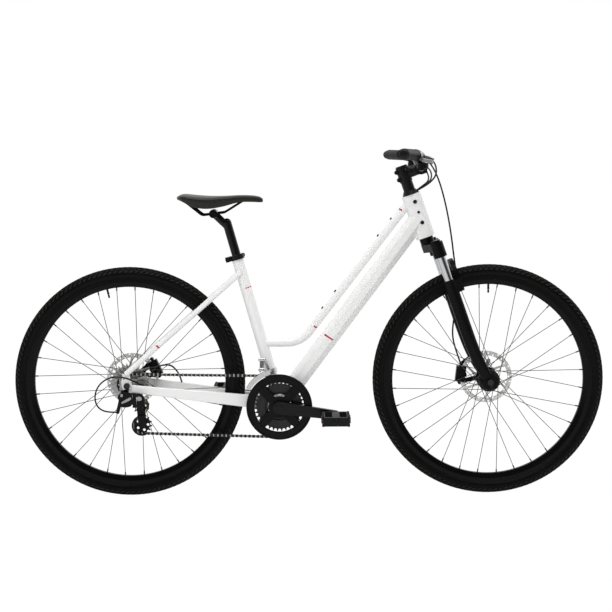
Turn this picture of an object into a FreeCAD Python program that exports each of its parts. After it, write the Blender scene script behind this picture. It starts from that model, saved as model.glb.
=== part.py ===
import FreeCAD
import Part
import math
import os

# A step-through hybrid bicycle with a suspension fork, disc brakes and a triple chainset.
# X points forward, Y to the rider's left and Z up. The origin lies on the ground, midway between the wheels.
# Lengths are millimetres and angles degrees.

V = FreeCAD.Vector
ORIGIN = V(0, 0, 0)
LEFT = V(0, 1, 0)
UP = V(0, 0, 1)

# Clearances and cuts that many pieces share
RUN_FIT = 0.05
CLEAR = 0.3
OVERRUN = 2.0

# Overall layout
WHEELBASE = 1090.0
BRACKET_DROP = 71.0
CHAINSTAY_LENGTH = 461.0
HEAD_ANGLE = 71.0
SEAT_ANGLE = 74.4
FORK_OFFSET = 36.0
FORK_LENGTH = 472.0
HEAD_TUBE_LENGTH = 137.0
SEAT_TUBE_LENGTH = 474.0

# Tyres and rims
TYRE_WALL = 2.6
TYRE_LIP_HALF_WIDTH = 14.5
TYRE_LIP_RISE = 2.0
BEAD_WALL = 2.7
BEAD_HEIGHT = 7.3
TUBE_WALL = 1.2
TUBE_SECTION_RADIUS = 15.2
VALVE_RADIUS = 3.2
VALVE_LENGTH = 55.0
RIM_BED_RADIUS = 311.0
TYRE_HEIGHT = 40.0
TYRE_RADIUS = RIM_BED_RADIUS + TYRE_HEIGHT
RIM_FLANGE_HEIGHT = 6.5
RIM_FLANGE_WALL = 2.5
RIM_HALF_WIDTH = 12.0
RIM_WELL_DEPTH = 3.5
RIM_WELL_HALF_WIDTH = 5.0
RIM_DEPTH = 20.5
RIM_SHOULDER_DEPTH = 6.0
RIM_NOSE_HALF_WIDTH = 5.0
RIM_WALL = 2.4

# Spokes and hubs
SPOKE_COUNT = 32
SPOKE_CROSSES = 3
SPOKE_RADIUS = 1.0
SPOKE_HOLE_GAP = 0.1
SPOKE_HEAD = 0.8
SPOKE_RIM_OFFSET = 3.0
NIPPLE_RADIUS = 2.0
NIPPLE_LENGTH = 14.0
NIPPLE_REACH = 3.6
FLANGE_HOLE_RADIUS = 29.0
FLANGE_RADIUS = 33.5
FLANGE_HALF_THICKNESS = 1.6
FLANGE_BLEND = 3.0
HUB_BARREL_RADIUS = 16.0
HUB_BORE_RADIUS = 11.0
BEARING_WIDTH = 6.0
FRONT_FLANGE_LEFT = 23.0
FRONT_FLANGE_RIGHT = -33.0
REAR_FLANGE_LEFT = 34.0
REAR_FLANGE_RIGHT = -19.5
FRONT_SPOKE_PHASE = 84.0
REAR_SPOKE_PHASE = 97.4
FRONT_HUB_SPACING = 100.0
REAR_HUB_SPACING = 135.0
HUB_END_GAP = 3.5
AXLE_RADIUS = 5.0

# Disc rotors and their brakes
ROTOR_RADIUS = 80.0
ROTOR_BAND = 14.0
ROTOR_THICKNESS = 1.8
ROTOR_HUB_RADIUS = 27.0
ROTOR_ARM_COUNT = 6
ROTOR_ARM_WIDTH = 7.0
ROTOR_HOLE_COUNT = 30
ROTOR_HOLE_RADIUS = 2.6
ROTOR_BOLT_CIRCLE = 22.0
ROTOR_BOLT_RADIUS = 3.6
ROTOR_BOLT_HEIGHT = 2.4
FRONT_ROTOR_Y = 39.5
REAR_ROTOR_Y = 52.0
CALIPER_LENGTH = 48.0
CALIPER_DEPTH = 30.0
CALIPER_HALF_WIDTH = 15.0
CALIPER_INNER_HALF = 11.5
CALIPER_SLOT_HALF_WIDTH = 2.2
CALIPER_BITE = 17.0
CALIPER_PISTON_RADIUS = 11.0
CALIPER_LUG_RADIUS = 6.0
CALIPER_FOOT_ANGLE = 20.0
CALIPER_FOOT_RADIUS_FROM_AXLE = 82.0
CALIPER_SLOT_ROOM = 2.5
CALIPER_CAP_HEIGHT = 1.5
CALIPER_FILLET = 5.0
PAD_LENGTH_SHARE = 0.55

# Frame tubes
HEAD_TUBE_DEPTH = 58.0
HEAD_TUBE_WIDTH = 46.0
HEAD_BORE_RADIUS = 19.0
HEAD_CREASE_SHARE = 0.34
HEAD_BACK_SHARE = 0.9
HEADSET_BEARING_HEIGHT = 9.0
DOWN_TUBE_DEPTH = 54.0
DOWN_TUBE_WIDTH = 46.0
DOWN_TUBE_WALL = 2.0
DOWN_SHOULDER_SHARE = 0.22
DOWN_CREASE_SHARE = 0.17
DOWN_KEEL_SHARE = 0.42
DOWN_TUBE_HEAD_HEIGHT = 62.0
TOP_TUBE_RADIUS = 12.5
TOP_TUBE_WALL = 1.8
TOP_TUBE_HEAD_HEIGHT = 125.0
TOP_TUBE_SEAT_HEIGHT = 194.0
TOP_TUBE_BEND_RADIUS = 85.0
TOP_TUBE_BEND_AHEAD = 66.5
SEAT_TUBE_RADIUS = 17.45
BRACKET_SHELL_RADIUS = 21.5
BRACKET_SHELL_HALF = 36.5
BRACKET_BORE = 17.0
BRACKET_LIP = 3.0
STAY_WALL = 1.8
CHAINSTAY_FRONT_HEIGHT = 38.0
CHAINSTAY_REAR_HEIGHT = 24.0
CHAINSTAY_WIDTH = 12.0
CHAINSTAY_CORNER = 4.0
CHAINSTAY_ROOT_Y = 25.0
CHAINSTAY_NECK_Y = 30.0
CHAINSTAY_END_SHARE = 0.16
CHAINSTAY_MID_Y = 53.0
CHAINSTAY_NECK_SHARE = 0.26
CHAINSTAY_MID_SHARE = 0.62
SEATSTAY_RADIUS = 8.5
SEATSTAY_TOP_HEIGHT = 420.0
SEATSTAY_TOP_Y = 14.0
SEATSTAY_NECK_Y = 33.5
SEATSTAY_NECK_SHARE = 0.26
SEATSTAY_BEND_RADIUS = 90.0
STAY_BRIDGE_RADIUS = 7.0
DROPOUT_THICKNESS = 7.0
DROPOUT_LENGTH = 44.0
DROPOUT_HEIGHT = 58.0
DROPOUT_FRONT_SHARE = 0.34
DROPOUT_OUTLINE_SHARES = (
    (0.34, -0.37), (0.34, 0.06), (0.16, 0.60), (-0.32, 0.62), (-0.38, 0.10), (-0.22, -0.37),
)
SEATSTAY_END_X_SHARE = 0.08
SEATSTAY_END_Z_SHARE = 0.58
STAY_BRIDGE_SHARE = 0.55
EYELET_RADIUS = 2.1
EYELET_RISE = 20.0
EYELET_SETBACK = 9.0
PLUG_RADIUS = 5.8
PLUG_HEIGHT = 1.6
PLUG_SPACING = 66.0
PLUG_LIFT = 11.5
PLUG_LEAD = 3.0
PLUG_SINK_SHARE = 0.2
BOSS_BOLT_RADIUS = 4.0
BOSS_BOLT_HEIGHT = 3.0
BOSS_SPACING = 64.0
BOSS_UPPER_SHARE = 0.16
BOSS_LOWER_SHARE = 0.66

# Seat
POST_RADIUS = 13.6
POST_EXPOSED = 101.0
POST_INSERT = 175.0
POST_WALL = 2.4
POST_NECK_SHARE = 0.85
CRADLE_HALF_WIDTH = 27.0
CRADLE_BODY_RADIUS = 13.0
CRADLE_BOLT_RADIUS = 3.0
RAIL_RADIUS = 3.5
RAIL_HALF_GAP = 22.0
SADDLE_LENGTH = 258.0
SADDLE_WIDTH = 165.0
SADDLE_RISE = 88.2
SADDLE_SETBACK = 147.9
SADDLE_DEPTH = 44.0
SADDLE_INSET_SHARE = 0.86
SADDLE_STATION_SHARES = (
    (0.0, 0.52, 0.16, 0.24, 0.34),
    (0.06, 0.88, 0.0, 0.22, 0.46),
    (0.20, 1.0, 0.06, 0.36, 0.86),
    (0.36, 0.92, 0.13, 0.46, 1.0),
    (0.54, 0.58, 0.13, 0.42, 0.86),
    (0.72, 0.34, 0.09, 0.34, 0.60),
    (0.88, 0.26, 0.14, 0.36, 0.58),
    (1.0, 0.13, 0.46, 0.52, 0.61),
)
RAIL_FRONT_X = 46.1
RAIL_FRONT_Z = 64.2
RAIL_CLAMP_FRONT_X = -5.9
RAIL_CLAMP_FRONT_Z = 32.2
RAIL_CLAMP_REAR_X = -72.9
RAIL_CLAMP_REAR_Z = 24.2
RAIL_REAR_X = -119.9
RAIL_REAR_Z = 63.2
RAIL_NOSE_HALF_GAP = 12.0
RAIL_TAIL_HALF_GAP = 32.0
RAIL_BEND_RADIUS = 16.0
COLLAR_HEIGHT = 15.0
COLLAR_WALL = 4.5
COLLAR_SLOT = 3.0
COLLAR_EAR = 13.0
COLLAR_NUT_RADIUS = 7.0
COLLAR_NUT_HEIGHT = 5.0
COLLAR_LEVER_GAP = 1.0
SEAT_SLOT_DEPTH = 30.0

# Fork
STEERER_RADIUS = 14.3
STEERER_WALL = 2.4
LEG_SPACING_HALF = 60.0
LEG_LEAD = 19.0
STANCHION_RADIUS = 14.0
STANCHION_WALL = 2.2
STANCHION_BOTTOM = 180.0
CROWN_BOTTOM = 406.0
CROWN_BRIDGE_BOTTOM = 428.0
CROWN_SHOULDER = 452.0
CROWN_TOP = 458.0
CROWN_ROOF = 5.0
CROWN_RACE_RADIUS = 21.0
CROWN_SOCKET_RADIUS = 20.0
CROWN_DEPTH = 44.0
LOWER_TOP = 325.0
LOWER_LEG_DEPTH = 38.0
LOWER_LEG_WIDTH = 34.0
LOWER_BORE_BOTTOM = 116.0
LOWER_LEG_SHARES = (
    (1.0, 0.0, 1.0, 1.0),
    (0.7, 0.0, 1.0, 1.0),
    (0.45, 0.0, 1.0, 1.0),
    (0.22, 0.25, 0.95, 0.78),
    (0.05, 0.85, 0.85, 0.5),
)
FORK_END_RADIUS = 24.0
FORK_END_THICKNESS = 11.0
ARCH_INNER_RADIUS = 44.0
ARCH_BAND = 17.0
ARCH_CENTRE_HEIGHT = 325.0
ARCH_FRONT = 54.0
ARCH_THICKNESS = 14.0
ARCH_LUG_HEIGHT = 36.0
FRONT_CALIPER_ANGLE = 154.0
BRACKET_ARM_THICKNESS = 6.0
BRACKET_ARM_WIDTH = 8.0
BRACKET_ROOT_HEIGHT = 70.0
WIPER_HEIGHT = 7.0
WIPER_WALL = 3.5
LOCK_NUT_RADIUS = 8.5
SKEWER_NUT_RADIUS = 9.0
SKEWER_NUT_HEIGHT = 9.0
CAM_HOUSING_HEIGHT = 10.0
CAM_LEVER_LENGTH = 52.0
CAM_LEVER_WIDTH = 12.0
CAM_LEVER_THICKNESS = 5.0
CAM_TIP_SHARE = 0.4
REAR_LEVER_ANGLE = 40.0
FRONT_LEVER_ANGLE = 74.0
REAR_CALIPER_ANGLE = 25.0

# Cockpit
HEADSET_COVER_HEIGHT = 13.0
HEADSET_COVER_RADIUS = 26.0
HEADSET_COVER_STEP = 2.0
SPACER_RADIUS = 17.5
SPACER_HEIGHT = 28.0
STEM_CLAMP_HEIGHT = 46.0
STEM_CLAMP_RADIUS = 19.5
STEM_REACH = 53.0
STEM_RISE = 1.0
STEM_ARM_HEIGHT = 33.0
STEM_PINCH_SPACING = 24.0
STEM_PINCH_RADIUS = 6.5
STEM_PINCH_HALF = 14.0
STEM_BOLT_RADIUS = 3.2
STEM_BOLT_HEIGHT = 3.0
FACE_PLATE_GAP = 1.0
TOP_CAP_HEIGHT = 4.0
BAR_CLAMP_HALF = 23.0
BAR_CLAMP_WALL = 6.0
BAR_RADIUS = 11.1
BAR_BULGE_RADIUS = 12.7
BAR_WALL = 2.2
BAR_HALF_WIDTH = 318.0
BAR_RISE = 42.0
BAR_SWEEP = 74.0
BAR_CENTRE_HALF = 42.0
BAR_RISE_Y = 118.0
BAR_BEND_RADIUS = 60.0
BAR_SWEEP_START = 6.0
BAR_RISE_START = 38.0
GRIP_LENGTH = 132.0
GRIP_RADIUS = 16.0
GRIP_WING = 25.0
GRIP_WING_THICKNESS = 9.0
GRIP_EDGE_SHARE = 0.4
GRIP_WING_SHARES = ((0.02, 0.0), (0.02, 0.8), (0.14, 1.0), (0.45, 0.85), (0.92, 0.45), (0.92, 0.0))
MASTER_GAP = 6.0
MASTER_WALL = 4.5
MASTER_CLAMP_WIDTH = 14.0
MASTER_REACH = 30.0
CONTROL_TILT = 20.0
MASTER_NECK_RADIUS = 6.5
MASTER_RADIUS = 8.5
MASTER_OUTBOARD = 6.0
MASTER_INBOARD = 34.0
LEVER_PIVOT_AHEAD = 18.0
LEVER_BOSS_RADIUS = 7.0
LEVER_BLADE_RADIUS = 4.5
LEVER_PIN_RADIUS = 2.5
LEVER_THICKNESS = 9.0
LEVER_LENGTH = 92.0
LEVER_BOW = 7.0
LEVER_KNEE_SHARE = 0.4
LEVER_TIP_SHARE = 0.4
LEVER_SLOT_LENGTH = 40.0
SHIFTER_CLAMP_WIDTH = 12.0
SHIFTER_AHEAD = 14.0
SHIFTER_BELOW = 38.0
SHIFTER_RADIUS = 17.0
SHIFTER_HEIGHT = 16.0
SHIFTER_NECK_RADIUS = 6.0
PADDLE_PIN_RADIUS = 3.0
PADDLE_THICKNESS = 5.0
PADDLE_LENGTH = 40.0
PADDLE_OUT_SHARE = 0.45
PADDLE_ROOT_RADIUS = 9.0
PADDLE_TIP_RADIUS = 7.0

# Chain and toothed wheels
CHAIN_PITCH = 12.7
ROLLER_RADIUS = 3.85
ROLLER_BORE = 1.95
PIN_RADIUS = 1.8
LINK_RADIUS = 4.2
LINK_WAIST = 3.1
LINK_PLATE = 0.9
LINK_INNER_HALF = 1.5
LINK_PLATE_GAP = 0.1
TOOTH_SEAT_GAP = 0.15
TOOTH_SEAT_ANGLE = 65.0
TOOTH_HEIGHT = 3.2
TOOTH_TIP_HALF = 1.3
CHAIN_Y = -50.4
SPROCKET_TEETH = (11, 13, 15, 17, 19, 21, 24, 28)
SPROCKET_IN_USE = 2
SPROCKET_PITCH = 4.8
SPROCKET_THICKNESS = 1.9
FREEHUB_RADIUS = 17.0
RING_TEETH = (46, 36, 28)
RING_PITCH = 7.3
RING_THICKNESS = 2.0
RING_BAND = 9.0
RING_BOLT_CIRCLE = 52.0
RING_TAB_RADIUS = 8.0
RING_BOLT_RADIUS = 4.0
GUIDE_TEETH = 11
TENSION_TEETH = 13
PULLEY_THICKNESS = 2.2
PULLEY_BORE = 3.0
PULLEY_HUB_RADIUS = 7.0
PULLEY_HOLE_COUNT = 5
PULLEY_HOLE_SHARE = 0.62
PULLEY_HOLE_RADIUS_SHARE = 0.15
LOCK_RING_STEP = 2.5
SMALL_RING_BORE = 36.0
SMALL_POST_RADIUS = 3.8
CAGE_SEARCH_STEP = 0.01
CAGE_SEARCH_TURNS = 12

# Crankset
CRANK_LENGTH = 170.0
CRANK_ANGLE = -7.8
CRANK_ARM_Y = 63.0
CRANK_LEFT_BOSS_Y = 44.0
DUST_CAP_RADIUS = 11.0
DUST_CAP_HEIGHT = 2.0
CRANK_ARM_THICKNESS = 13.0
CRANK_BOSS_RADIUS = 19.0
CRANK_TIP_RADIUS = 13.5
SPINDLE_RADIUS = 10.0
SPIDER_ARM_WIDTH = 17.0
SPIDER_COUNT = 4
SPIDER_PHASE = 52.8
GUARD_RADIUS = 99.5
GUARD_BAND = 25.0
GUARD_THICKNESS = 2.6
GUARD_ARM_WIDTH = 26.0
GUARD_HUB_RADIUS = 33.0
GUARD_OFFSET = 7.0
PEDAL_LENGTH = 82.0
PEDAL_WIDTH = 94.0
PEDAL_THICKNESS = 26.0
PEDAL_WALL = 9.0
PEDAL_BARREL_RADIUS = 11.0
PEDAL_AXLE_RADIUS = 6.0
PEDAL_GAP = 6.0
PEDAL_CORNER = 8.0
REFLECTOR_THICKNESS = 2.5
REFLECTOR_WIDTH_SHARE = 0.55
REFLECTOR_HEIGHT_SHARE = 0.55

# Front derailleur
FD_BAND_HEIGHT = 104.0
FD_BAND_TALL = 16.0
FD_BAND_WALL = 3.0
FD_LINK_LENGTH = 30.0
FD_LINK_WIDTH = 12.0
FD_REST_ANGLE = 14.0
FD_PIVOT_X = -52.0
FD_PIVOT_Z = 142.0
FD_EAR = 4.0
FD_ROOF_SPAN = 11.0
FD_TAIL_SPAN = 3.0
FD_CAGE_START = 104.0
FD_CAGE_END = 150.0
FD_CAGE_INNER_RADIUS = 101.5
FD_CAGE_HEIGHT = 14.0
FD_CAGE_HALF_WIDTH = 5.4
FD_PLATE = 1.4
FD_PIN_RADIUS = 2.5

# Rear derailleur
HANGER_DROP = 31.5
HANGER_SETBACK = 15.0
HANGER_RADIUS = 9.0
RD_KNUCKLE_RADIUS = 11.0
RD_KNUCKLE_WIDTH = 14.0
RD_LINK_LENGTH = 40.0
RD_LINK_THICKNESS = 5.0
RD_LINK_HEIGHT = 16.0
RD_LINK_ANGLE = -23.0
RD_PIN_RADIUS = 2.2
RD_OPEN_PIN_RADIUS = 1.9
RD_EAR = 2.8
RD_WEB_OFFSET = 8.0
RD_PIVOT_X = 4.0
RD_PIVOT_Y = -92.0
RD_PIVOT_Z = 18.0
RD_TIE_RADIUS = 6.0
RD_BOLT_RADIUS = 5.0
RD_BOLT_HEIGHT = 2.0
RD_BARREL_LENGTH = 14.0
RD_KNUCKLE_TIE_RADIUS = 3.8
RD_STOP_BACK = 12.0
RD_STOP_DROP = 46.0
RD_STOP_RADIUS = 5.0
CAGE_SHAFT_RADIUS = 5.0
RD_LINK_SPACING = 13.0
HANGER_ROOT_SHARE = 0.4
HANGER_ROOT_DROP_SHARE = 0.66
HANGER_THICKNESS = 5.0
RD_SLANT = 45.0
GUIDE_PULLEY_AHEAD = 37.0
GUIDE_PULLEY_DROP = 65.0
CAGE_LENGTH = 58.0
CAGE_NOMINAL_ANGLE = -92.0
CAGE_PLATE = 1.6
CAGE_HALF_WIDTH = 5.0
CAGE_END_RADIUS = 12.0

# Cables
CABLE_RADIUS = 2.3
HOSE_RADIUS = 2.5
CABLE_BEND_SHARE = 0.45
GEAR_HOUSING_POINTS = (
    (-490.0, -66.5, 345.5), (-520.0, -75.0, 362.0), (-548.0, -82.0, 377.0), (-580.0, -85.0, 381.0),
    (-611.0, -86.0, 371.0), (-633.0, -87.0, 348.0), (-641.0, -87.5, 317.0), (-633.0, -87.0, 289.0),
    (-608.0, -86.5, 273.5), (-577.3, -86.5, 273.5),
)
REAR_HOSE_POINTS = (
    (-459.9, 52.0, 390.4), (-430.0, 53.0, 396.4), (-407.5, 55.0, 374.0), (-397.0, 56.5, 352.0),
    (-392.0, 57.3, 331.0),
)
FRONT_HOSE_POINTS = (
    (351.9, 157.8, 1022.2), (360.5, 132.5, 1021.7), (379.0, 104.0, 1012.0), (397.0, 78.0, 978.0),
    (411.0, 60.0, 934.0), (423.0, 48.0, 882.0), (433.0, 41.0, 828.0), (441.0, 37.0, 772.0),
    (447.0, 36.0, 718.0), (455.0, 33.0, 664.0), (460.0, 34.0, 618.0), (453.0, 36.0, 566.0),
    (444.0, 37.0, 518.0), (442.0, 38.5, 474.0), (454.0, 39.2, 430.0), (469.5, 38.9, 386.4),
)
LEFT_GEAR_POINTS = (
    (339.1, 151.2, 1002.4), (348.0, 125.0, 1000.0), (362.0, 90.0, 990.0), (371.0, 55.0, 974.0),
    (369.0, 26.0, 955.0), (350.0, 10.0, 941.0), (327.0, 6.5, 925.0),
)
RIGHT_HOSE_POINTS = (
    (351.9, -157.8, 1022.2), (360.5, -132.0, 1021.4), (374.0, -97.0, 1012.0), (384.0, -61.0, 994.0),
    (386.0, -30.0, 972.0), (372.0, -8.0, 952.0), (352.0, 0.5, 938.0), (327.5, 0.0, 924.5),
)


def polar(radius, angle_deg, centre=ORIGIN):
    """Point in the side view, at an angle counted from forward towards up."""
    angle = math.radians(angle_deg)
    return centre + V(radius * math.cos(angle), 0, radius * math.sin(angle))


# Points that many pieces share
REAR_AXLE = V(-WHEELBASE / 2, 0, TYRE_RADIUS)
FRONT_AXLE = V(WHEELBASE / 2, 0, TYRE_RADIUS)
BRACKET = REAR_AXLE + V(math.sqrt(CHAINSTAY_LENGTH ** 2 - BRACKET_DROP ** 2), 0, -BRACKET_DROP)
STEER_UP = polar(1, 180 - HEAD_ANGLE)
STEER_FORWARD = polar(1, 90 - HEAD_ANGLE)
STEER_ORIGIN = FRONT_AXLE - STEER_FORWARD * FORK_OFFSET
STEER = FreeCAD.Placement(STEER_ORIGIN, FreeCAD.Rotation(LEFT, HEAD_ANGLE - 90))
SEAT_UP = polar(1, 180 - SEAT_ANGLE)
SEAT = FreeCAD.Placement(BRACKET, FreeCAD.Rotation(LEFT, SEAT_ANGLE - 90))
HEAD_TOP = FORK_LENGTH + HEAD_TUBE_LENGTH
COVER_TOP = HEAD_TOP + HEADSET_COVER_HEIGHT
SPACER_TOP = COVER_TOP + SPACER_HEIGHT
STEM_TOP = SPACER_TOP + STEM_CLAMP_HEIGHT
STEM_MID = SPACER_TOP + STEM_CLAMP_HEIGHT / 2
BAR_CENTRE = STEER.multVec(V(STEM_REACH, 0, STEM_MID + STEM_RISE))
REAR_SPAN = REAR_HUB_SPACING / 2
FRONT_SPAN = FRONT_HUB_SPACING / 2
POST_TOP = BRACKET + SEAT_UP * (SEAT_TUBE_LENGTH + POST_EXPOSED)


def save(name, *solids):
    """Write one node, of one solid or of several."""
    shape = solids[0] if len(solids) == 1 else Part.makeCompound(list(solids))
    shape.exportStep(f"parts/{name}.step")


def joined(first, *others):
    """Fuse touching shapes into one solid."""
    fused = first.fuse(list(others)).removeSplitter()
    return fused.Solids[0] if len(fused.Solids) == 1 else fused


def rod(start, end, radius):
    """Round bar between two points."""
    run = end - start
    return Part.makeCylinder(radius, run.Length, start, run)


def pipe_between(start, end, outer, inner):
    """Straight hollow tube between two points."""
    run = end - start
    reach = V(run).normalize() * OVERRUN
    return rod(start, end, outer).cut(rod(start - reach, end + reach, inner))


def cross_rod(centre, radius, y_from, y_to):
    """Round bar that lies across the bike at a side-view point."""
    return rod(V(centre.x, y_from, centre.z), V(centre.x, y_to, centre.z), radius)


def cross_ring(centre, outer, inner, y_from, y_to):
    """Ring that lies across the bike at a side-view point."""
    return pipe_between(V(centre.x, y_from, centre.z), V(centre.x, y_to, centre.z), outer, inner)


def flat_face(points):
    """Flat face with straight sides."""
    return Part.Face(Part.makePolygon(list(points) + [points[0]]))


def side_plate(points, y_from, y_to):
    """Plate cut to a side-view outline."""
    face = flat_face([V(point.x, y_from, point.z) for point in points])
    return face.extrude(V(0, y_to - y_from, 0))


def turned(profile):
    """Solid of revolution about the Y axis, from radius and Y pairs."""
    return flat_face([V(radius, y, 0) for radius, y in profile]).revolve(ORIGIN, LEFT, 360)


def bar_plate(start, end, start_radius, end_radius, y_from, y_to):
    """Tapered link between two round ends, as a plate in the side view."""
    run = end - start
    heading = math.degrees(math.atan2(run.z, run.x))
    lean = math.degrees(math.asin((start_radius - end_radius) / run.Length))
    upper, lower = heading + 90 - lean, heading - 90 + lean
    corners = [
        polar(start_radius, upper, start),
        polar(end_radius, upper, end),
        polar(end_radius, lower, end),
        polar(start_radius, lower, start),
    ]
    return joined(
        side_plate(corners, y_from, y_to),
        cross_rod(start, start_radius, y_from, y_to),
        cross_rod(end, end_radius, y_from, y_to),
    )


def rounded_path(points, radius=None):
    """Straight runs joined by tangent arcs, each arc as large as its runs allow or of one given radius."""
    edges = []
    least = None
    start = points[0]
    for before, corner, after in zip(points, points[1:], points[2:]):
        back = before - corner
        ahead = after - corner
        turn = math.pi - back.getAngle(ahead)
        arc_radius = radius or CABLE_BEND_SHARE * min(back.Length, ahead.Length) / math.tan(turn / 2)
        least = arc_radius if least is None else min(least, arc_radius)
        setback = arc_radius * math.tan(turn / 2)
        entry = corner + V(back).normalize() * setback
        leave = corner + V(ahead).normalize() * setback
        middle_way = (V(back).normalize() + V(ahead).normalize()).normalize()
        middle = corner + middle_way * (arc_radius / math.cos(turn / 2) - arc_radius)
        if start.distanceToPoint(entry) > Part.Precision.confusion():
            edges.append(Part.LineSegment(start, entry).toShape())
        edges.append(Part.Arc(entry, middle, leave).toShape())
        start = leave
    edges.append(Part.LineSegment(start, points[-1]).toShape())
    return Part.Wire(edges), least


def swept(points, section_radius, bend_radius=None, label=None):
    """Round bar, cable or hose along a route."""
    path, least = rounded_path(points, bend_radius)
    if label:
        print(f"{label}: least bend radius {least:.1f} mm, length {path.Length:.0f} mm")
    heading = points[1] - points[0]
    ring = Part.Wire(Part.Circle(points[0], heading, section_radius).toShape())
    return path.makePipeShell([ring], True, False)


def oval(centre, half_x, half_y):
    """Level ellipse, wider along whichever half is longer."""
    if half_x >= half_y:
        curve = Part.Ellipse(centre + V(half_x, 0, 0), centre + V(0, half_y, 0), centre)
    else:
        curve = Part.Ellipse(centre + V(0, half_y, 0), centre + V(-half_x, 0, 0), centre)
    return Part.Wire(curve.toShape())


def steered(shape):
    """Move a shape from the steering axis frame to the bike."""
    moved = shape.copy()
    moved.Placement = STEER.multiply(moved.Placement)
    return moved


def seated(shape):
    """Move a shape from the seat tube frame to the bike."""
    moved = shape.copy()
    moved.Placement = SEAT.multiply(moved.Placement)
    return moved


# Wheels


def tyre():
    """Casing that grips the rim bed with two beads."""
    outer_half = TYRE_LIP_HALF_WIDTH
    lip = RIM_BED_RADIUS + RIM_FLANGE_HEIGHT + TYRE_LIP_RISE
    bead_outer = RIM_HALF_WIDTH - RIM_FLANGE_WALL - CLEAR
    bead_inner = bead_outer - BEAD_WALL
    bead_top = RIM_BED_RADIUS + BEAD_HEIGHT
    flank = RIM_BED_RADIUS + RIM_FLANGE_HEIGHT + CLEAR
    outer_arc = Part.Arc(V(lip, outer_half, 0), V(TYRE_RADIUS, 0, 0), V(lip, -outer_half, 0)).toShape()
    inner_arc = Part.Arc(
        V(bead_top, -bead_inner, 0), V(TYRE_RADIUS - TYRE_WALL, 0, 0), V(bead_top, bead_inner, 0)
    ).toShape()
    right = Part.makePolygon(
        [
            V(lip, -outer_half, 0),
            V(flank, -bead_outer, 0),
            V(RIM_BED_RADIUS, -bead_outer, 0),
            V(RIM_BED_RADIUS, -bead_inner, 0),
            V(bead_top, -bead_inner, 0),
        ]
    )
    left = Part.makePolygon(
        [
            V(bead_top, bead_inner, 0),
            V(RIM_BED_RADIUS, bead_inner, 0),
            V(RIM_BED_RADIUS, bead_outer, 0),
            V(flank, bead_outer, 0),
            V(lip, outer_half, 0),
        ]
    )
    outline = Part.Wire([outer_arc] + right.Edges + [inner_arc] + left.Edges)
    return Part.Face(outline).revolve(ORIGIN, LEFT, 360)


def valve_rod(radius, phase):
    """Straight stem from the inner tube towards the hub."""
    outer = TYRE_RADIUS - TYRE_WALL - CLEAR - TUBE_SECTION_RADIUS * 2 + TUBE_WALL
    return rod(polar(outer, phase), polar(outer - VALVE_LENGTH, phase), radius)


def inner_tube(phase):
    """Hollow rubber ring under the casing, with its valve."""
    centre = V(TYRE_RADIUS - TYRE_WALL - CLEAR - TUBE_SECTION_RADIUS, 0, 0)
    outer = Part.Wire(Part.Circle(centre, UP, TUBE_SECTION_RADIUS).toShape())
    inner = Part.Wire(Part.Circle(centre, UP, TUBE_SECTION_RADIUS - TUBE_WALL).toShape())
    ring = Part.Face(outer).revolve(ORIGIN, LEFT, 360)
    hollow = Part.Face(inner).revolve(ORIGIN, LEFT, 360)
    return joined(ring, valve_rod(VALVE_RADIUS, phase)).cut(hollow)


def rim():
    """Double-wall rim with a box section."""
    bed = RIM_BED_RADIUS
    lip = bed + RIM_FLANGE_HEIGHT
    inside = RIM_HALF_WIDTH - RIM_FLANGE_WALL
    well = bed - RIM_WELL_DEPTH
    shoulder = bed - RIM_SHOULDER_DEPTH
    nose = bed - RIM_DEPTH
    half = [
        (lip, RIM_HALF_WIDTH),
        (lip, inside),
        (bed, inside),
        (bed, RIM_WELL_HALF_WIDTH + RIM_WALL / 2),
        (well, RIM_WELL_HALF_WIDTH),
    ]
    flank = [(nose, RIM_NOSE_HALF_WIDTH), (shoulder, RIM_HALF_WIDTH)]
    mirrored = [(radius, -y) for radius, y in reversed(half)]
    mirrored_flank = [(radius, -y) for radius, y in reversed(flank)]
    body = turned(half + mirrored + mirrored_flank + flank)
    roof = well - RIM_WALL
    wide = RIM_HALF_WIDTH - RIM_WALL
    narrow = RIM_NOSE_HALF_WIDTH - RIM_WALL / 2
    floor = nose + RIM_WALL
    chamber = turned([(roof, wide), (roof, -wide), (floor, -narrow), (floor, narrow)])
    return body.cut(chamber)


def spoke_lines(phase, left_y, right_y):
    """Hub and rim ends of each spoke, with the flange it leaves and the face that it lies on."""
    lines = []
    step = 360 / SPOKE_COUNT
    stand_off = FLANGE_HALF_THICKNESS + SPOKE_RADIUS + CLEAR
    nose = RIM_BED_RADIUS - RIM_DEPTH
    for index in range(SPOKE_COUNT):
        side = 1 if index % 2 == 0 else -1
        lean = 1 if (index // 2) % 2 == 0 else -1
        flange_y = left_y if side > 0 else right_y
        rim_angle = phase + index * step
        hub_angle = rim_angle + lean * SPOKE_CROSSES * step * 2
        hub_end = polar(FLANGE_HOLE_RADIUS, hub_angle) + V(0, flange_y + lean * stand_off, 0)
        rim_end = polar(nose, rim_angle) + V(0, side * SPOKE_RIM_OFFSET, 0)
        lines.append((hub_end, rim_end, flange_y, lean))
    return lines


def spoke(line):
    """Spoke with its elbow through the flange and its nipple through the rim."""
    hub_end, rim_end, flange_y, lean = line
    run = (rim_end - hub_end).normalize()
    elbow_end = V(hub_end.x, flange_y - lean * (FLANGE_HALF_THICKNESS + SPOKE_HEAD), hub_end.z)
    nipple_end = rim_end + run * NIPPLE_REACH
    return joined(
        rod(hub_end, rim_end, SPOKE_RADIUS),
        Part.makeSphere(SPOKE_RADIUS, hub_end),
        rod(hub_end, elbow_end, SPOKE_RADIUS),
        rod(nipple_end - run * NIPPLE_LENGTH, nipple_end, NIPPLE_RADIUS),
    )


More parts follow.
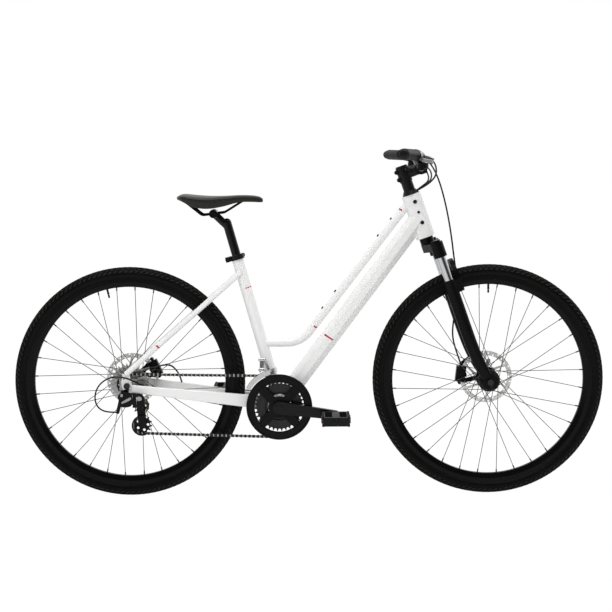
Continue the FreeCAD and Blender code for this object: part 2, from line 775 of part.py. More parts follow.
def drilled_rim(lines, phase):
    """Rim with a hole for each nipple and one for the valve."""
    holes = [valve_rod(VALVE_RADIUS + CLEAR, phase)]
    for hub_end, rim_end, flange_y, lean in lines:
        run = (rim_end - hub_end).normalize()
        reach = run * NIPPLE_REACH
        holes.append(rod(rim_end - reach, rim_end + reach * 2, NIPPLE_RADIUS + SPOKE_HOLE_GAP))
    return rim().cut(holes)


def hub_shell(lines, left_y, right_y, left_end, right_end, rotor_y):
    """Hub with two drilled flanges and a boss that the rotor bolts to."""
    half = FLANGE_HALF_THICKNESS
    boss_end = rotor_y - ROTOR_THICKNESS / 2
    boss_radius = ROTOR_HUB_RADIUS - CLEAR
    spigot = HUB_BARREL_RADIUS
    body = turned(
        [
            (HUB_BORE_RADIUS, right_end),
            (HUB_BARREL_RADIUS, right_end),
            (HUB_BARREL_RADIUS, right_y - half),
            (FLANGE_RADIUS, right_y - half),
            (FLANGE_RADIUS, right_y + half),
            (HUB_BARREL_RADIUS, right_y + half),
            (HUB_BARREL_RADIUS, left_y - half),
            (FLANGE_RADIUS, left_y - half),
            (FLANGE_RADIUS, left_y + half),
            (boss_radius, left_y + half + FLANGE_BLEND),
            (boss_radius, boss_end),
            (spigot, boss_end),
            (spigot, left_end),
            (HUB_BORE_RADIUS, left_end),
        ]
    )
    holes = []
    for hub_end, rim_end, flange_y, lean in lines:
        reach = half + OVERRUN
        bore = SPOKE_RADIUS + SPOKE_HOLE_GAP
        run = (rim_end - hub_end).normalize()
        holes.append(cross_rod(hub_end, bore, flange_y - reach, flange_y + reach))
        holes.append(rod(hub_end, hub_end + run * FLANGE_RADIUS, bore))
        holes.append(Part.makeSphere(bore, hub_end))
    return body.cut(holes)


def bearing(y_from, y_to):
    """Sealed bearing between hub and axle."""
    return cross_ring(ORIGIN, HUB_BORE_RADIUS, AXLE_RADIUS + RUN_FIT, y_from, y_to)


def rotor(y):
    """Brake disc with swept arms and a drilled band, and its bolts."""
    half = ROTOR_THICKNESS / 2
    band_inner = ROTOR_RADIUS - ROTOR_BAND
    band = cross_ring(ORIGIN, ROTOR_RADIUS, band_inner, y - half, y + half)
    centre = cross_ring(ORIGIN, ROTOR_HUB_RADIUS, HUB_BARREL_RADIUS + CLEAR, y - half, y + half)
    arms = []
    sweep = 360 / ROTOR_ARM_COUNT / 2
    for index in range(ROTOR_ARM_COUNT):
        angle = index * 360 / ROTOR_ARM_COUNT
        start = polar(ROTOR_HUB_RADIUS - ROTOR_ARM_WIDTH / 2, angle)
        end = polar(band_inner + ROTOR_ARM_WIDTH / 2, angle - sweep)
        arms.append(bar_plate(start, end, ROTOR_ARM_WIDTH / 2, ROTOR_ARM_WIDTH / 2, y - half, y + half))
    disc = joined(band, centre, *arms)
    holes = []
    for index in range(ROTOR_HOLE_COUNT):
        angle = index * 360 / ROTOR_HOLE_COUNT
        row = (index % 3 + 1) / 4
        hole = polar(band_inner + ROTOR_BAND * row, angle)
        holes.append(cross_rod(hole, ROTOR_HOLE_RADIUS, y - half - OVERRUN, y + half + OVERRUN))
    bolts = []
    for index in range(ROTOR_ARM_COUNT):
        seat = polar(ROTOR_BOLT_CIRCLE, index * 360 / ROTOR_ARM_COUNT)
        bolts.append(cross_rod(seat, ROTOR_BOLT_RADIUS, y + half, y + half + ROTOR_BOLT_HEIGHT))
    return [disc.cut(holes)] + bolts


def placed(solids, axle):
    """Move wheel pieces from the origin to their axle."""
    return [solid.translated(axle) for solid in solids]


def build_wheel(name, axle, phase, left_y, right_y, span, rotor_y, right_end):
    """All the pieces of one wheel, apart from its axle."""
    lines = spoke_lines(phase, left_y, right_y)
    valve_phase = phase + 180 / SPOKE_COUNT
    left_end = span - HUB_END_GAP
    save(f"{name}_tyre", *placed([tyre(), inner_tube(valve_phase)], axle))
    save(f"{name}_rim", *placed([drilled_rim(lines, valve_phase)], axle))
    save(f"{name}_spokes", *placed([spoke(line) for line in lines], axle))
    shell = hub_shell(lines, left_y, right_y, left_end, right_end, rotor_y)
    bearings = [
        bearing(left_end - BEARING_WIDTH, left_end),
        bearing(right_end, right_end + BEARING_WIDTH),
    ]
    save(f"{name}_hub", *placed([shell] + bearings, axle))
    save(f"{name}_rotor", *placed(rotor(rotor_y), axle))


def build_wheels():
    """Front and rear wheels."""
    build_wheel(
        "front", FRONT_AXLE, FRONT_SPOKE_PHASE, FRONT_FLANGE_LEFT, FRONT_FLANGE_RIGHT,
        FRONT_SPAN, FRONT_ROTOR_Y, HUB_END_GAP - FRONT_SPAN,
    )
    build_wheel(
        "rear", REAR_AXLE, REAR_SPOKE_PHASE, REAR_FLANGE_LEFT, REAR_FLANGE_RIGHT,
        REAR_SPAN, REAR_ROTOR_Y, REAR_FLANGE_RIGHT - FLANGE_HALF_THICKNESS - SPOKE_RADIUS,
    )


# Frame


def head_outline(depth, width):
    """Head tube section: a round nose ahead of a crease, flat cheeks and a round back."""
    nose = depth / 2
    half = width / 2
    crease = nose * HEAD_CREASE_SHARE
    front = Part.Arc(V(crease, -half, 0), V(nose, 0, 0), V(crease, half, 0)).toShape()
    back_half = half * HEAD_BACK_SHARE
    back = Part.Arc(V(-crease, back_half, 0), V(-nose, 0, 0), V(-crease, -back_half, 0)).toShape()
    left = Part.LineSegment(V(crease, half, 0), V(-crease, back_half, 0)).toShape()
    right = Part.LineSegment(V(-crease, -back_half, 0), V(crease, -half, 0)).toShape()
    return Part.Face(Part.Wire([front, left, back, right]))


def head_block():
    """Head tube before it is bored, for the tubes that meet it."""
    block = head_outline(HEAD_TUBE_DEPTH, HEAD_TUBE_WIDTH).extrude(V(0, 0, HEAD_TUBE_LENGTH))
    return steered(block.translated(V(0, 0, FORK_LENGTH)))


def steer_ring(outer, inner, low, high):
    """Ring on the steering axis between two heights."""
    return steered(pipe_between(V(0, 0, low), V(0, 0, high), outer, inner))


def head_tube():
    """Bored head tube."""
    low = STEER.multVec(V(0, 0, FORK_LENGTH - OVERRUN))
    high = STEER.multVec(V(0, 0, HEAD_TOP + OVERRUN))
    return head_block().cut(rod(low, high, HEAD_BORE_RADIUS))


def headset_bearings():
    """Upper and lower steering bearings in the head tube."""
    inner = STEERER_RADIUS + RUN_FIT
    lower = steer_ring(HEAD_BORE_RADIUS, inner, FORK_LENGTH, FORK_LENGTH + HEADSET_BEARING_HEIGHT)
    upper = steer_ring(HEAD_BORE_RADIUS, inner, HEAD_TOP - HEADSET_BEARING_HEIGHT, HEAD_TOP)
    return [lower, upper]


def seat_rod(radius, low, high):
    """Round bar on the seat tube axis between two heights over the bracket."""
    return rod(BRACKET + SEAT_UP * low, BRACKET + SEAT_UP * high, radius)


def seat_block():
    """Seat tube and bracket shell before they are bored."""
    shell = cross_rod(BRACKET, BRACKET_SHELL_RADIUS, -BRACKET_SHELL_HALF, BRACKET_SHELL_HALF)
    return joined(seat_rod(SEAT_TUBE_RADIUS, 0, SEAT_TUBE_LENGTH), shell)


def seat_tube():
    """Seat tube with the bracket shell, and a slot behind that lets the collar close."""
    reach = BRACKET_SHELL_HALF + OVERRUN
    bracket_bore = cross_rod(BRACKET, BRACKET_BORE, -reach, reach)
    post_bore = seat_rod(POST_RADIUS + RUN_FIT, BRACKET_SHELL_RADIUS, SEAT_TUBE_LENGTH + OVERRUN)
    slot = Part.makeBox(
        SEAT_TUBE_RADIUS + OVERRUN, COLLAR_SLOT, SEAT_SLOT_DEPTH + OVERRUN,
        V(-SEAT_TUBE_RADIUS - OVERRUN, -COLLAR_SLOT / 2, SEAT_TUBE_LENGTH - SEAT_SLOT_DEPTH),
    )
    return seat_block().cut([bracket_bore, post_bore, seated(slot)])


def down_outline(depth, width):
    """Down tube section: a round back, flat cheeks to a crease and a narrow keel below."""
    half = width / 2
    shoulder = -depth * DOWN_SHOULDER_SHARE
    crease = depth * DOWN_CREASE_SHARE
    keel = half * DOWN_KEEL_SHARE
    back = Part.Arc(V(shoulder, half, 0), V(-depth / 2, 0, 0), V(shoulder, -half, 0)).toShape()
    rest = Part.makePolygon(
        [
            V(shoulder, -half, 0),
            V(crease, -half, 0),
            V(depth / 2, -keel, 0),
            V(depth / 2, keel, 0),
            V(crease, half, 0),
            V(shoulder, half, 0),
        ]
    )
    return Part.Face(Part.Wire([back] + rest.Edges))


def down_placement():
    """Frame whose Z runs up the down tube from the bracket, with X below it."""
    target = STEER.multVec(V(0, 0, FORK_LENGTH + DOWN_TUBE_HEAD_HEIGHT))
    run = target - BRACKET
    lean = math.degrees(math.atan2(run.x, run.z))
    return FreeCAD.Placement(BRACKET, FreeCAD.Rotation(LEFT, lean)), run.Length


def down_tube():
    """Hollow shaped tube from the bracket to the head tube."""
    place, length = down_placement()
    outer = down_outline(DOWN_TUBE_DEPTH, DOWN_TUBE_WIDTH).extrude(V(0, 0, length))
    inner_face = down_outline(DOWN_TUBE_DEPTH - DOWN_TUBE_WALL * 2, DOWN_TUBE_WIDTH - DOWN_TUBE_WALL * 2)
    hollow = outer.cut(inner_face.extrude(V(0, 0, length)))
    hollow.Placement = place
    cut = hollow.cut([head_block(), seat_block()])
    return largest(cut)


def largest(shape):
    """The biggest solid of a cut, without offcuts inside a neighbour."""
    return max(shape.Solids, key=lambda solid: solid.Volume)


def top_route():
    """Centre line of the top tube: down from the head, then level to the seat tube."""
    head = STEER.multVec(V(0, 0, FORK_LENGTH + TOP_TUBE_HEAD_HEIGHT))
    seat = BRACKET + SEAT_UP * TOP_TUBE_SEAT_HEIGHT
    return [head, V(BRACKET.x + TOP_TUBE_BEND_AHEAD, 0, seat.z), seat]


def top_tube():
    """Bent hollow tube that gives the low step."""
    route = top_route()
    outer = swept(route, TOP_TUBE_RADIUS, TOP_TUBE_BEND_RADIUS)
    inner = swept(route, TOP_TUBE_RADIUS - TOP_TUBE_WALL, TOP_TUBE_BEND_RADIUS)
    return largest(outer.cut(inner).cut([head_block(), seat_block()]))


def rounded_section(centre, half_y, half_z, corner):
    """Rounded rectangle that stands across the bike."""
    points = []
    for turn_y, turn_z in ((1, 1), (-1, 1), (-1, -1), (1, -1)):
        hub = centre + V(0, turn_y * (half_y - corner), turn_z * (half_z - corner))
        beside = hub + V(0, turn_y * corner, 0)
        over = hub + V(0, 0, turn_z * corner)
        diagonal = hub + V(0, turn_y, turn_z).normalize() * corner
        points.append((beside, diagonal, over) if turn_y * turn_z > 0 else (over, diagonal, beside))
    edges = []
    for index, (start, middle, end) in enumerate(points):
        edges.append(Part.Arc(start, middle, end).toShape())
        following = points[(index + 1) % len(points)][0]
        edges.append(Part.LineSegment(end, following).toShape())
    return Part.Wire(edges)


def chainstay(side):
    """Stay that runs from the bracket shell, past the tyre, out to its dropout."""
    end = REAR_AXLE + V(DROPOUT_LENGTH * DROPOUT_FRONT_SHARE, 0, -DROPOUT_HEIGHT * CHAINSTAY_END_SHARE)
    stations = (
        (0, CHAINSTAY_ROOT_Y, CHAINSTAY_FRONT_HEIGHT),
        (CHAINSTAY_NECK_SHARE, CHAINSTAY_NECK_Y, CHAINSTAY_FRONT_HEIGHT),
        (CHAINSTAY_MID_SHARE, CHAINSTAY_MID_Y, (CHAINSTAY_FRONT_HEIGHT + CHAINSTAY_REAR_HEIGHT) / 2),
        (1, REAR_SPAN + DROPOUT_THICKNESS / 2, CHAINSTAY_REAR_HEIGHT),
    )
    outer, inner = [], []
    for share, y, height in stations:
        centre = BRACKET + (end - BRACKET) * share + V(0, side * y, 0)
        half_y, half_z = CHAINSTAY_WIDTH / 2, height / 2
        outer.append(rounded_section(centre, half_y, half_z, CHAINSTAY_CORNER))
        inner.append(
            rounded_section(centre, half_y - STAY_WALL, half_z - STAY_WALL, CHAINSTAY_CORNER - STAY_WALL)
        )
    hollow = Part.makeLoft(outer, True).cut(Part.makeLoft(inner, True))
    cord = rear_hose() if side > 0 else gear_housing()
    return largest(hollow.cut([seat_block(), dropout_blank(side), down_tube_blank(), cord]))


def down_tube_blank():
    """Down tube without its hollow, for the stays that meet it."""
    place, length = down_placement()
    blank = down_outline(DOWN_TUBE_DEPTH, DOWN_TUBE_WIDTH).extrude(V(0, 0, length))
    blank.Placement = place
    return blank


def dropout_blank(side):
    """Dropout plate before its slot and eyelet are cut."""
    points = [
        REAR_AXLE + V(DROPOUT_LENGTH * x_share, 0, DROPOUT_HEIGHT * z_share)
        for x_share, z_share in DROPOUT_OUTLINE_SHARES
    ]
    inner = side * REAR_SPAN
    return side_plate(points, inner, inner + side * DROPOUT_THICKNESS)


def eyelet_point():
    """Side-view centre of the rack eyelets."""
    return REAR_AXLE + V(-EYELET_SETBACK, 0, EYELET_RISE)


def dropout(side):
    """Plate with an axle slot that opens downward and a threaded rack eyelet."""
    inner = side * (REAR_SPAN - OVERRUN)
    outer = side * (REAR_SPAN + DROPOUT_THICKNESS + OVERRUN)
    slot_half = AXLE_RADIUS + CLEAR
    corners = [
        V(-slot_half, 0, 0), V(slot_half, 0, 0),
        V(slot_half, 0, -DROPOUT_HEIGHT), V(-slot_half, 0, -DROPOUT_HEIGHT),
    ]
    slot = side_plate([REAR_AXLE + corner for corner in corners], inner, outer)
    seat = cross_rod(REAR_AXLE, slot_half, inner, outer)
    eyelet = cross_rod(eyelet_point(), EYELET_RADIUS, inner, outer)
    return dropout_blank(side).cut([slot, seat, eyelet])


def seatstay_route(side):
    """Centre line of one seatstay, from the seat tube to its dropout."""
    top = BRACKET + SEAT_UP * SEATSTAY_TOP_HEIGHT
    end = REAR_AXLE + V(-DROPOUT_LENGTH * SEATSTAY_END_X_SHARE, 0, DROPOUT_HEIGHT * SEATSTAY_END_Z_SHARE)
    neck = top + (end - top) * SEATSTAY_NECK_SHARE
    end_y = REAR_SPAN + DROPOUT_THICKNESS / 2
    return [
        top + V(0, side * SEATSTAY_TOP_Y, 0),
        neck + V(0, side * SEATSTAY_NECK_Y, 0),
        end + V(0, side * end_y, 0),
    ]


def seatstay(side):
    """Round stay beside the tyre."""
    route = seatstay_route(side)
    outer = swept(route, SEATSTAY_RADIUS, SEATSTAY_BEND_RADIUS)
    inner = swept(route, SEATSTAY_RADIUS - STAY_WALL, SEATSTAY_BEND_RADIUS)
    return largest(outer.cut(inner).cut([seat_block(), dropout_blank(side)]))


def stay_bridge():
    """Cross tube between the seatstays, above the tyre."""
    top, neck, end = seatstay_route(1)
    at = top + (neck - top) * STAY_BRIDGE_SHARE
    bridge = cross_rod(at, STAY_BRIDGE_RADIUS, -at.y, at.y)
    stays = [swept(seatstay_route(side), SEATSTAY_RADIUS, SEATSTAY_BEND_RADIUS) for side in (-1, 1)]
    return largest(bridge.cut(stays))


def frame_fasteners():
    """Plugs in the head tube's threaded ports and bolts in the bottle bosses."""
    pieces = []
    face_y = -HEAD_TUBE_WIDTH / 2
    middle = FORK_LENGTH + HEAD_TUBE_LENGTH / 2 + PLUG_LIFT
    for lift, radius in ((-1, PLUG_RADIUS), (0, BOSS_BOLT_RADIUS), (1, PLUG_RADIUS)):
        height = middle + lift * PLUG_SPACING / 2
        foot = V(PLUG_LEAD, face_y + HEAD_TUBE_WIDTH * PLUG_SINK_SHARE, height)
        plug = rod(foot, V(PLUG_LEAD, face_y - PLUG_HEIGHT, height), radius)
        pieces.append(largest(steered(plug).cut([head_block(), down_tube_blank()])))
    head, bend, seat = top_route()
    run = (bend - head).normalize()
    above = V(run.z, 0, -run.x)
    length = (bend - head).Length
    for share in (BOSS_UPPER_SHARE, BOSS_LOWER_SHARE):
        for step in (0, BOSS_SPACING):
            centre = head + run * (length * share + step)
            bolt = rod(centre, centre + above * (TOP_TUBE_RADIUS + BOSS_BOLT_HEIGHT), BOSS_BOLT_RADIUS)
            pieces.append(largest(bolt.cut(swept(top_route(), TOP_TUBE_RADIUS, TOP_TUBE_BEND_RADIUS))))
    return pieces


def bracket_unit():
    """Sealed cartridge that carries the crank spindle."""
    half = BRACKET_SHELL_HALF
    barrel = cross_ring(BRACKET, BRACKET_BORE, SPINDLE_RADIUS + RUN_FIT, -half, half)
    lips = []
    for side in (-1, 1):
        inner = side * BRACKET_SHELL_HALF
        lips.append(
            cross_ring(
                BRACKET, BRACKET_SHELL_RADIUS - BRACKET_LIP, SPINDLE_RADIUS + RUN_FIT,
                inner, inner + side * BRACKET_LIP,
            )
        )
    return joined(barrel, *lips)


def build_frame():
    """Welded frame, piece by piece, with what is pressed or bolted into it."""
    save("head_tube", head_tube())
    save("seat_tube", seat_tube())
    save("down_tube", down_tube())
    save("top_tube", top_tube())
    stays = [stay_bridge()]
    for side in (-1, 1):
        stays += [chainstay(side), seatstay(side), dropout(side)]
    save("rear_stays", *stays)
    save("frame_fasteners", *frame_fasteners())
    save("frame_bearings", bracket_unit(), *headset_bearings())


# Seat


def saddle_solid():
    """Padded top: a crowned cushion, wide behind and narrow at the nose."""
    sections = []
    for x_share, half_share, top_share, edge_share, base_share in SADDLE_STATION_SHARES:
        x = POST_TOP.x - SADDLE_SETBACK + SADDLE_LENGTH * x_share
        half = SADDLE_WIDTH / 2 * half_share
        top = POST_TOP.z + SADDLE_RISE - SADDLE_DEPTH * top_share
        edge = POST_TOP.z + SADDLE_RISE - SADDLE_DEPTH * edge_share
        base = POST_TOP.z + SADDLE_RISE - SADDLE_DEPTH * base_share
        arc = Part.Arc(V(x, -half, edge), V(x, 0, top), V(x, half, edge)).toShape()
        inset = half * SADDLE_INSET_SHARE
        rest = Part.makePolygon([V(x, half, edge), V(x, inset, base), V(x, -inset, base), V(x, -half, edge)])
        sections.append(Part.Wire([arc] + rest.Edges))
    return Part.makeLoft(sections, True)


def rail_route(side):
    """One saddle rail, from the nose, along the clamp and up to the back."""
    front = POST_TOP + V(RAIL_FRONT_X, side * RAIL_NOSE_HALF_GAP, RAIL_FRONT_Z)
    low_front = POST_TOP + V(RAIL_CLAMP_FRONT_X, side * RAIL_HALF_GAP, RAIL_CLAMP_FRONT_Z)
    low_rear = POST_TOP + V(RAIL_CLAMP_REAR_X, side * RAIL_HALF_GAP, RAIL_CLAMP_REAR_Z)
    rear = POST_TOP + V(RAIL_REAR_X, side * RAIL_TAIL_HALF_GAP, RAIL_REAR_Z)
    return [front, low_front, low_rear, rear]


def rail(side):
    """Bent rail, cut off flush under the saddle."""
    return largest(swept(rail_route(side), RAIL_RADIUS, RAIL_BEND_RADIUS).cut(saddle_solid()))


def cradle_point():
    """Middle of the stretch of rail that the seatpost holds."""
    route = rail_route(0)
    return (route[1] + route[2]) * (1 / 2)


def seatpost():
    """Hollow post with a head that sets the saddle back."""
    top = SEAT_TUBE_LENGTH + POST_EXPOSED
    bottom = SEAT_TUBE_LENGTH - POST_INSERT
    tube = seat_rod(POST_RADIUS, bottom, top)
    hollow = seat_rod(POST_RADIUS - POST_WALL, bottom - OVERRUN, top - POST_RADIUS * 2)
    neck = rod(BRACKET + SEAT_UP * (top - POST_RADIUS), cradle_point(), POST_RADIUS * POST_NECK_SHARE)
    cap = Part.makeSphere(POST_RADIUS, POST_TOP)
    wide = CRADLE_HALF_WIDTH * 2
    seat = cross_rod(cradle_point(), CRADLE_BODY_RADIUS + CLEAR, -wide, wide)
    return largest(joined(tube, cap, neck).cut([hollow, seat]))


def saddle_clamp():
    """Round cradle that grips both rails, with its clamp bolt and nut."""
    centre = cradle_point()
    body = cross_rod(centre, CRADLE_BODY_RADIUS, -CRADLE_HALF_WIDTH, CRADLE_HALF_WIDTH)
    grooves = [swept(rail_route(side), RAIL_RADIUS, RAIL_BEND_RADIUS) for side in (-1, 1)]
    body = largest(body.cut(grooves))
    ends = []
    for side in (-1, 1):
        face = side * CRADLE_HALF_WIDTH
        ends.append(cross_rod(centre, CRADLE_BOLT_RADIUS * 2, face, face + side * CRADLE_BOLT_RADIUS))
    return [body] + ends


def seat_collar():
    """Split collar that closes the seat tube on the post, with two ears behind."""
    low, high = SEAT_TUBE_LENGTH - COLLAR_HEIGHT, SEAT_TUBE_LENGTH
    outer = SEAT_TUBE_RADIUS + COLLAR_WALL
    ring = Part.makeCylinder(outer, COLLAR_HEIGHT, V(0, 0, low))
    ears = Part.makeBox(
        outer + COLLAR_EAR, COLLAR_EAR * 2, COLLAR_HEIGHT, V(-outer - COLLAR_EAR, -COLLAR_EAR, low)
    )
    bore = Part.makeCylinder(SEAT_TUBE_RADIUS, COLLAR_HEIGHT + OVERRUN * 2, V(0, 0, low - OVERRUN))
    slot = Part.makeBox(
        outer + COLLAR_EAR + OVERRUN, COLLAR_SLOT, COLLAR_HEIGHT + OVERRUN * 2,
        V(-outer - COLLAR_EAR - OVERRUN, -COLLAR_SLOT / 2, low - OVERRUN),
    )
    return seated(joined(ring, ears).cut([bore, slot]))


def collar_bolt_point():
    """Where the collar's bolt crosses its ears."""
    outer = SEAT_TUBE_RADIUS + COLLAR_WALL
    return SEAT.multVec(V(-outer - COLLAR_EAR / 2, 0, SEAT_TUBE_LENGTH - COLLAR_HEIGHT / 2))


def collar_bolt_ends():
    """Nut on the right end of the collar's bolt and the cam's seat on its left end."""
    point = collar_bolt_point()
    return [
        cross_rod(point, COLLAR_NUT_RADIUS, -COLLAR_EAR - COLLAR_NUT_HEIGHT, -COLLAR_EAR),
        cross_rod(point, COLLAR_NUT_RADIUS, COLLAR_EAR, collar_lever_y() - CAM_LEVER_THICKNESS / 2 - CLEAR),
    ]


def collar_lever_y():
    """Distance of the collar's lever from the middle, so that its blade passes outside the collar."""
    return SEAT_TUBE_RADIUS + COLLAR_WALL + COLLAR_LEVER_GAP + CAM_LEVER_THICKNESS / 2


def collar_lever():
    """Cam lever on the left end of the collar's bolt, folded forward beside the collar."""
    pivot = collar_bolt_point() + V(0, collar_lever_y(), 0)
    return cam_lever(pivot, SEAT.Rotation.multVec(V(1, 0, 0)), SEAT_UP)


def build_seat():
    """Saddle, rails, seatpost and the collar that holds it."""
    save("saddle", saddle_solid())
    save("saddle_rails", *[rail(side) for side in (-1, 1)])
    save("seatpost", seatpost(), *saddle_clamp())
    save("seat_collar", seat_collar(), *collar_bolt_ends())
    save("seat_collar_lever", collar_lever())


# Fork, in the steering axis frame


def level_link(start, end, start_radius, end_radius, low, high):
    """Tapered link between two upright round ends."""
    run = end - start
    heading = math.atan2(run.y, run.x)
    lean = math.asin((start_radius - end_radius) / run.Length)
    corners = []
    for hub, radius, turn in (
        (start, start_radius, 1), (end, end_radius, 1), (end, end_radius, -1), (start, start_radius, -1)
    ):
        angle = heading + turn * (math.pi / 2 - lean)
        corners.append(V(hub.x + radius * math.cos(angle), hub.y + radius * math.sin(angle), low))
    height = V(0, 0, high - low)
    web = flat_face(corners).extrude(height)
    ends = [Part.makeCylinder(radius, height.z, V(hub.x, hub.y, low))
            for hub, radius in ((start, start_radius), (end, end_radius))]
    return joined(web, *ends)


def leg_point(side, height):
    """Point on the axis of one fork leg."""
    return V(LEG_LEAD, side * LEG_SPACING_HALF, height)


def fork_crown():
    """Forged crown with the steerer pressed in, and a blind socket for each stanchion."""
    low = CROWN_BRIDGE_BOTTOM
    pieces = [
        Part.makeCylinder(STEERER_RADIUS, STEM_TOP - low, V(0, 0, low)),
        Part.makeCylinder(CROWN_RACE_RADIUS, FORK_LENGTH - CLEAR - low, V(0, 0, low)),
    ]
    cuts = [Part.makeCylinder(STEERER_RADIUS - STEERER_WALL, STEM_TOP, V(0, 0, low - OVERRUN))]
    for side in (-1, 1):
        leg = leg_point(side, 0)
        pieces.append(
            level_link(ORIGIN, leg, CROWN_DEPTH / 2, CROWN_SOCKET_RADIUS, low, CROWN_SHOULDER)
        )
        bottom, shoulder = leg_point(side, CROWN_BOTTOM), leg_point(side, CROWN_SHOULDER)
        pieces.append(rod(bottom, shoulder, CROWN_SOCKET_RADIUS))
        pieces.append(rod(leg_point(side, CROWN_SHOULDER), leg_point(side, CROWN_TOP), STANCHION_RADIUS))
        mouth = leg_point(side, CROWN_BOTTOM - OVERRUN)
        cuts.append(rod(mouth, leg_point(side, CROWN_SHOULDER - CROWN_ROOF), STANCHION_RADIUS))
    return steered(joined(*pieces).cut(cuts))


def stanchion(side):
    """Chromed tube that the lower leg slides on."""
    low, high = leg_point(side, STANCHION_BOTTOM), leg_point(side, CROWN_SHOULDER - CROWN_ROOF)
    return steered(pipe_between(low, high, STANCHION_RADIUS, STANCHION_RADIUS - STANCHION_WALL))


def lower_leg(side):
    """Cast lower leg: an oval tube that narrows and bends forward to the axle, with its round end."""
    sections = []
    for height_share, lead_share, depth_share, width_share in LOWER_LEG_SHARES:
        lead = LEG_LEAD + (FORK_OFFSET - LEG_LEAD) * lead_share
        inner_y = LEG_SPACING_HALF + (FRONT_SPAN + FORK_END_THICKNESS / 2 - LEG_SPACING_HALF) * lead_share
        centre = V(lead, side * inner_y, LOWER_TOP * height_share)
        sections.append(oval(centre, LOWER_LEG_DEPTH / 2 * depth_share, LOWER_LEG_WIDTH / 2 * width_share))
    inner = side * FRONT_SPAN
    end = cross_rod(V(FORK_OFFSET, 0, 0), FORK_END_RADIUS, inner, inner + side * FORK_END_THICKNESS)
    return joined(Part.makeLoft(sections, True), end)


def fork_arch():
    """Arch over the tyre that ties the lower legs, ahead of the stanchions."""
    back = ARCH_FRONT - ARCH_THICKNESS
    outer = ARCH_INNER_RADIUS + ARCH_BAND
    start = V(back, 0, ARCH_CENTRE_HEIGHT)
    end = V(ARCH_FRONT, 0, ARCH_CENTRE_HEIGHT)
    hoop = pipe_between(start, end, outer, ARCH_INNER_RADIUS)
    below = Part.makeBox(
        ARCH_THICKNESS + OVERRUN * 2, outer * 2 + OVERRUN, outer + OVERRUN,
        V(back - OVERRUN, -outer - OVERRUN / 2, ARCH_CENTRE_HEIGHT - outer - OVERRUN),
    )
    half_hoop = hoop.cut(below)
    lugs = []
    for side in (-1, 1):
        foot = V(ARCH_FRONT - ARCH_THICKNESS / 2, side * (ARCH_INNER_RADIUS + ARCH_BAND / 2), 0)
        lugs.append(
            level_link(
                leg_point(side, 0), foot, LOWER_LEG_WIDTH / 2, ARCH_BAND / 2,
                ARCH_CENTRE_HEIGHT - ARCH_LUG_HEIGHT, ARCH_CENTRE_HEIGHT,
            )
        )
    return [half_hoop] + lugs


def fork_lowers():
    """Both lower legs and the arch in one casting, bored for the stanchions and slotted for the axle."""
    legs = [lower_leg(side) for side in (-1, 1)]
    body = joined(legs[0], legs[1], caliper_bracket(), *fork_arch())
    cuts = []
    slot_half = AXLE_RADIUS + CLEAR
    for side in (-1, 1):
        mouth = leg_point(side, LOWER_TOP + OVERRUN)
        cuts.append(rod(leg_point(side, LOWER_BORE_BOTTOM), mouth, STANCHION_RADIUS + RUN_FIT))
        inner = side * (FRONT_SPAN - OVERRUN)
        outer = side * (FRONT_SPAN + FORK_END_THICKNESS + OVERRUN)
        axle = V(FORK_OFFSET, 0, 0)
        corners = [
            V(-slot_half, 0, 0), V(slot_half, 0, 0), V(slot_half, 0, -FORK_END_RADIUS * 2),
            V(-slot_half, 0, -FORK_END_RADIUS * 2),
        ]
        cuts.append(side_plate([axle + corner for corner in corners], inner, outer))
        cuts.append(cross_rod(axle, slot_half, inner, outer))
    return largest(steered(body.cut(cuts)))


def caliper_bracket():
    """Two arms behind the left leg that carry the brake, in the steering axis frame."""
    axle = V(FORK_OFFSET, 0, 0)
    inner = FRONT_ROTOR_Y + CALIPER_HALF_WIDTH
    outer = inner + BRACKET_ARM_THICKNESS
    arms = []
    for turn in (-1, 1):
        angle = FRONT_CALIPER_ANGLE + turn * CALIPER_FOOT_ANGLE
        foot = polar(CALIPER_FOOT_RADIUS_FROM_AXLE, angle, axle)
        root = leg_point(1, BRACKET_ROOT_HEIGHT) if turn < 0 else axle
        start = V(root.x, 0, root.z)
        arms.append(bar_plate(start, foot, BRACKET_ARM_WIDTH, CALIPER_LUG_RADIUS, inner, outer))
    return joined(*arms)


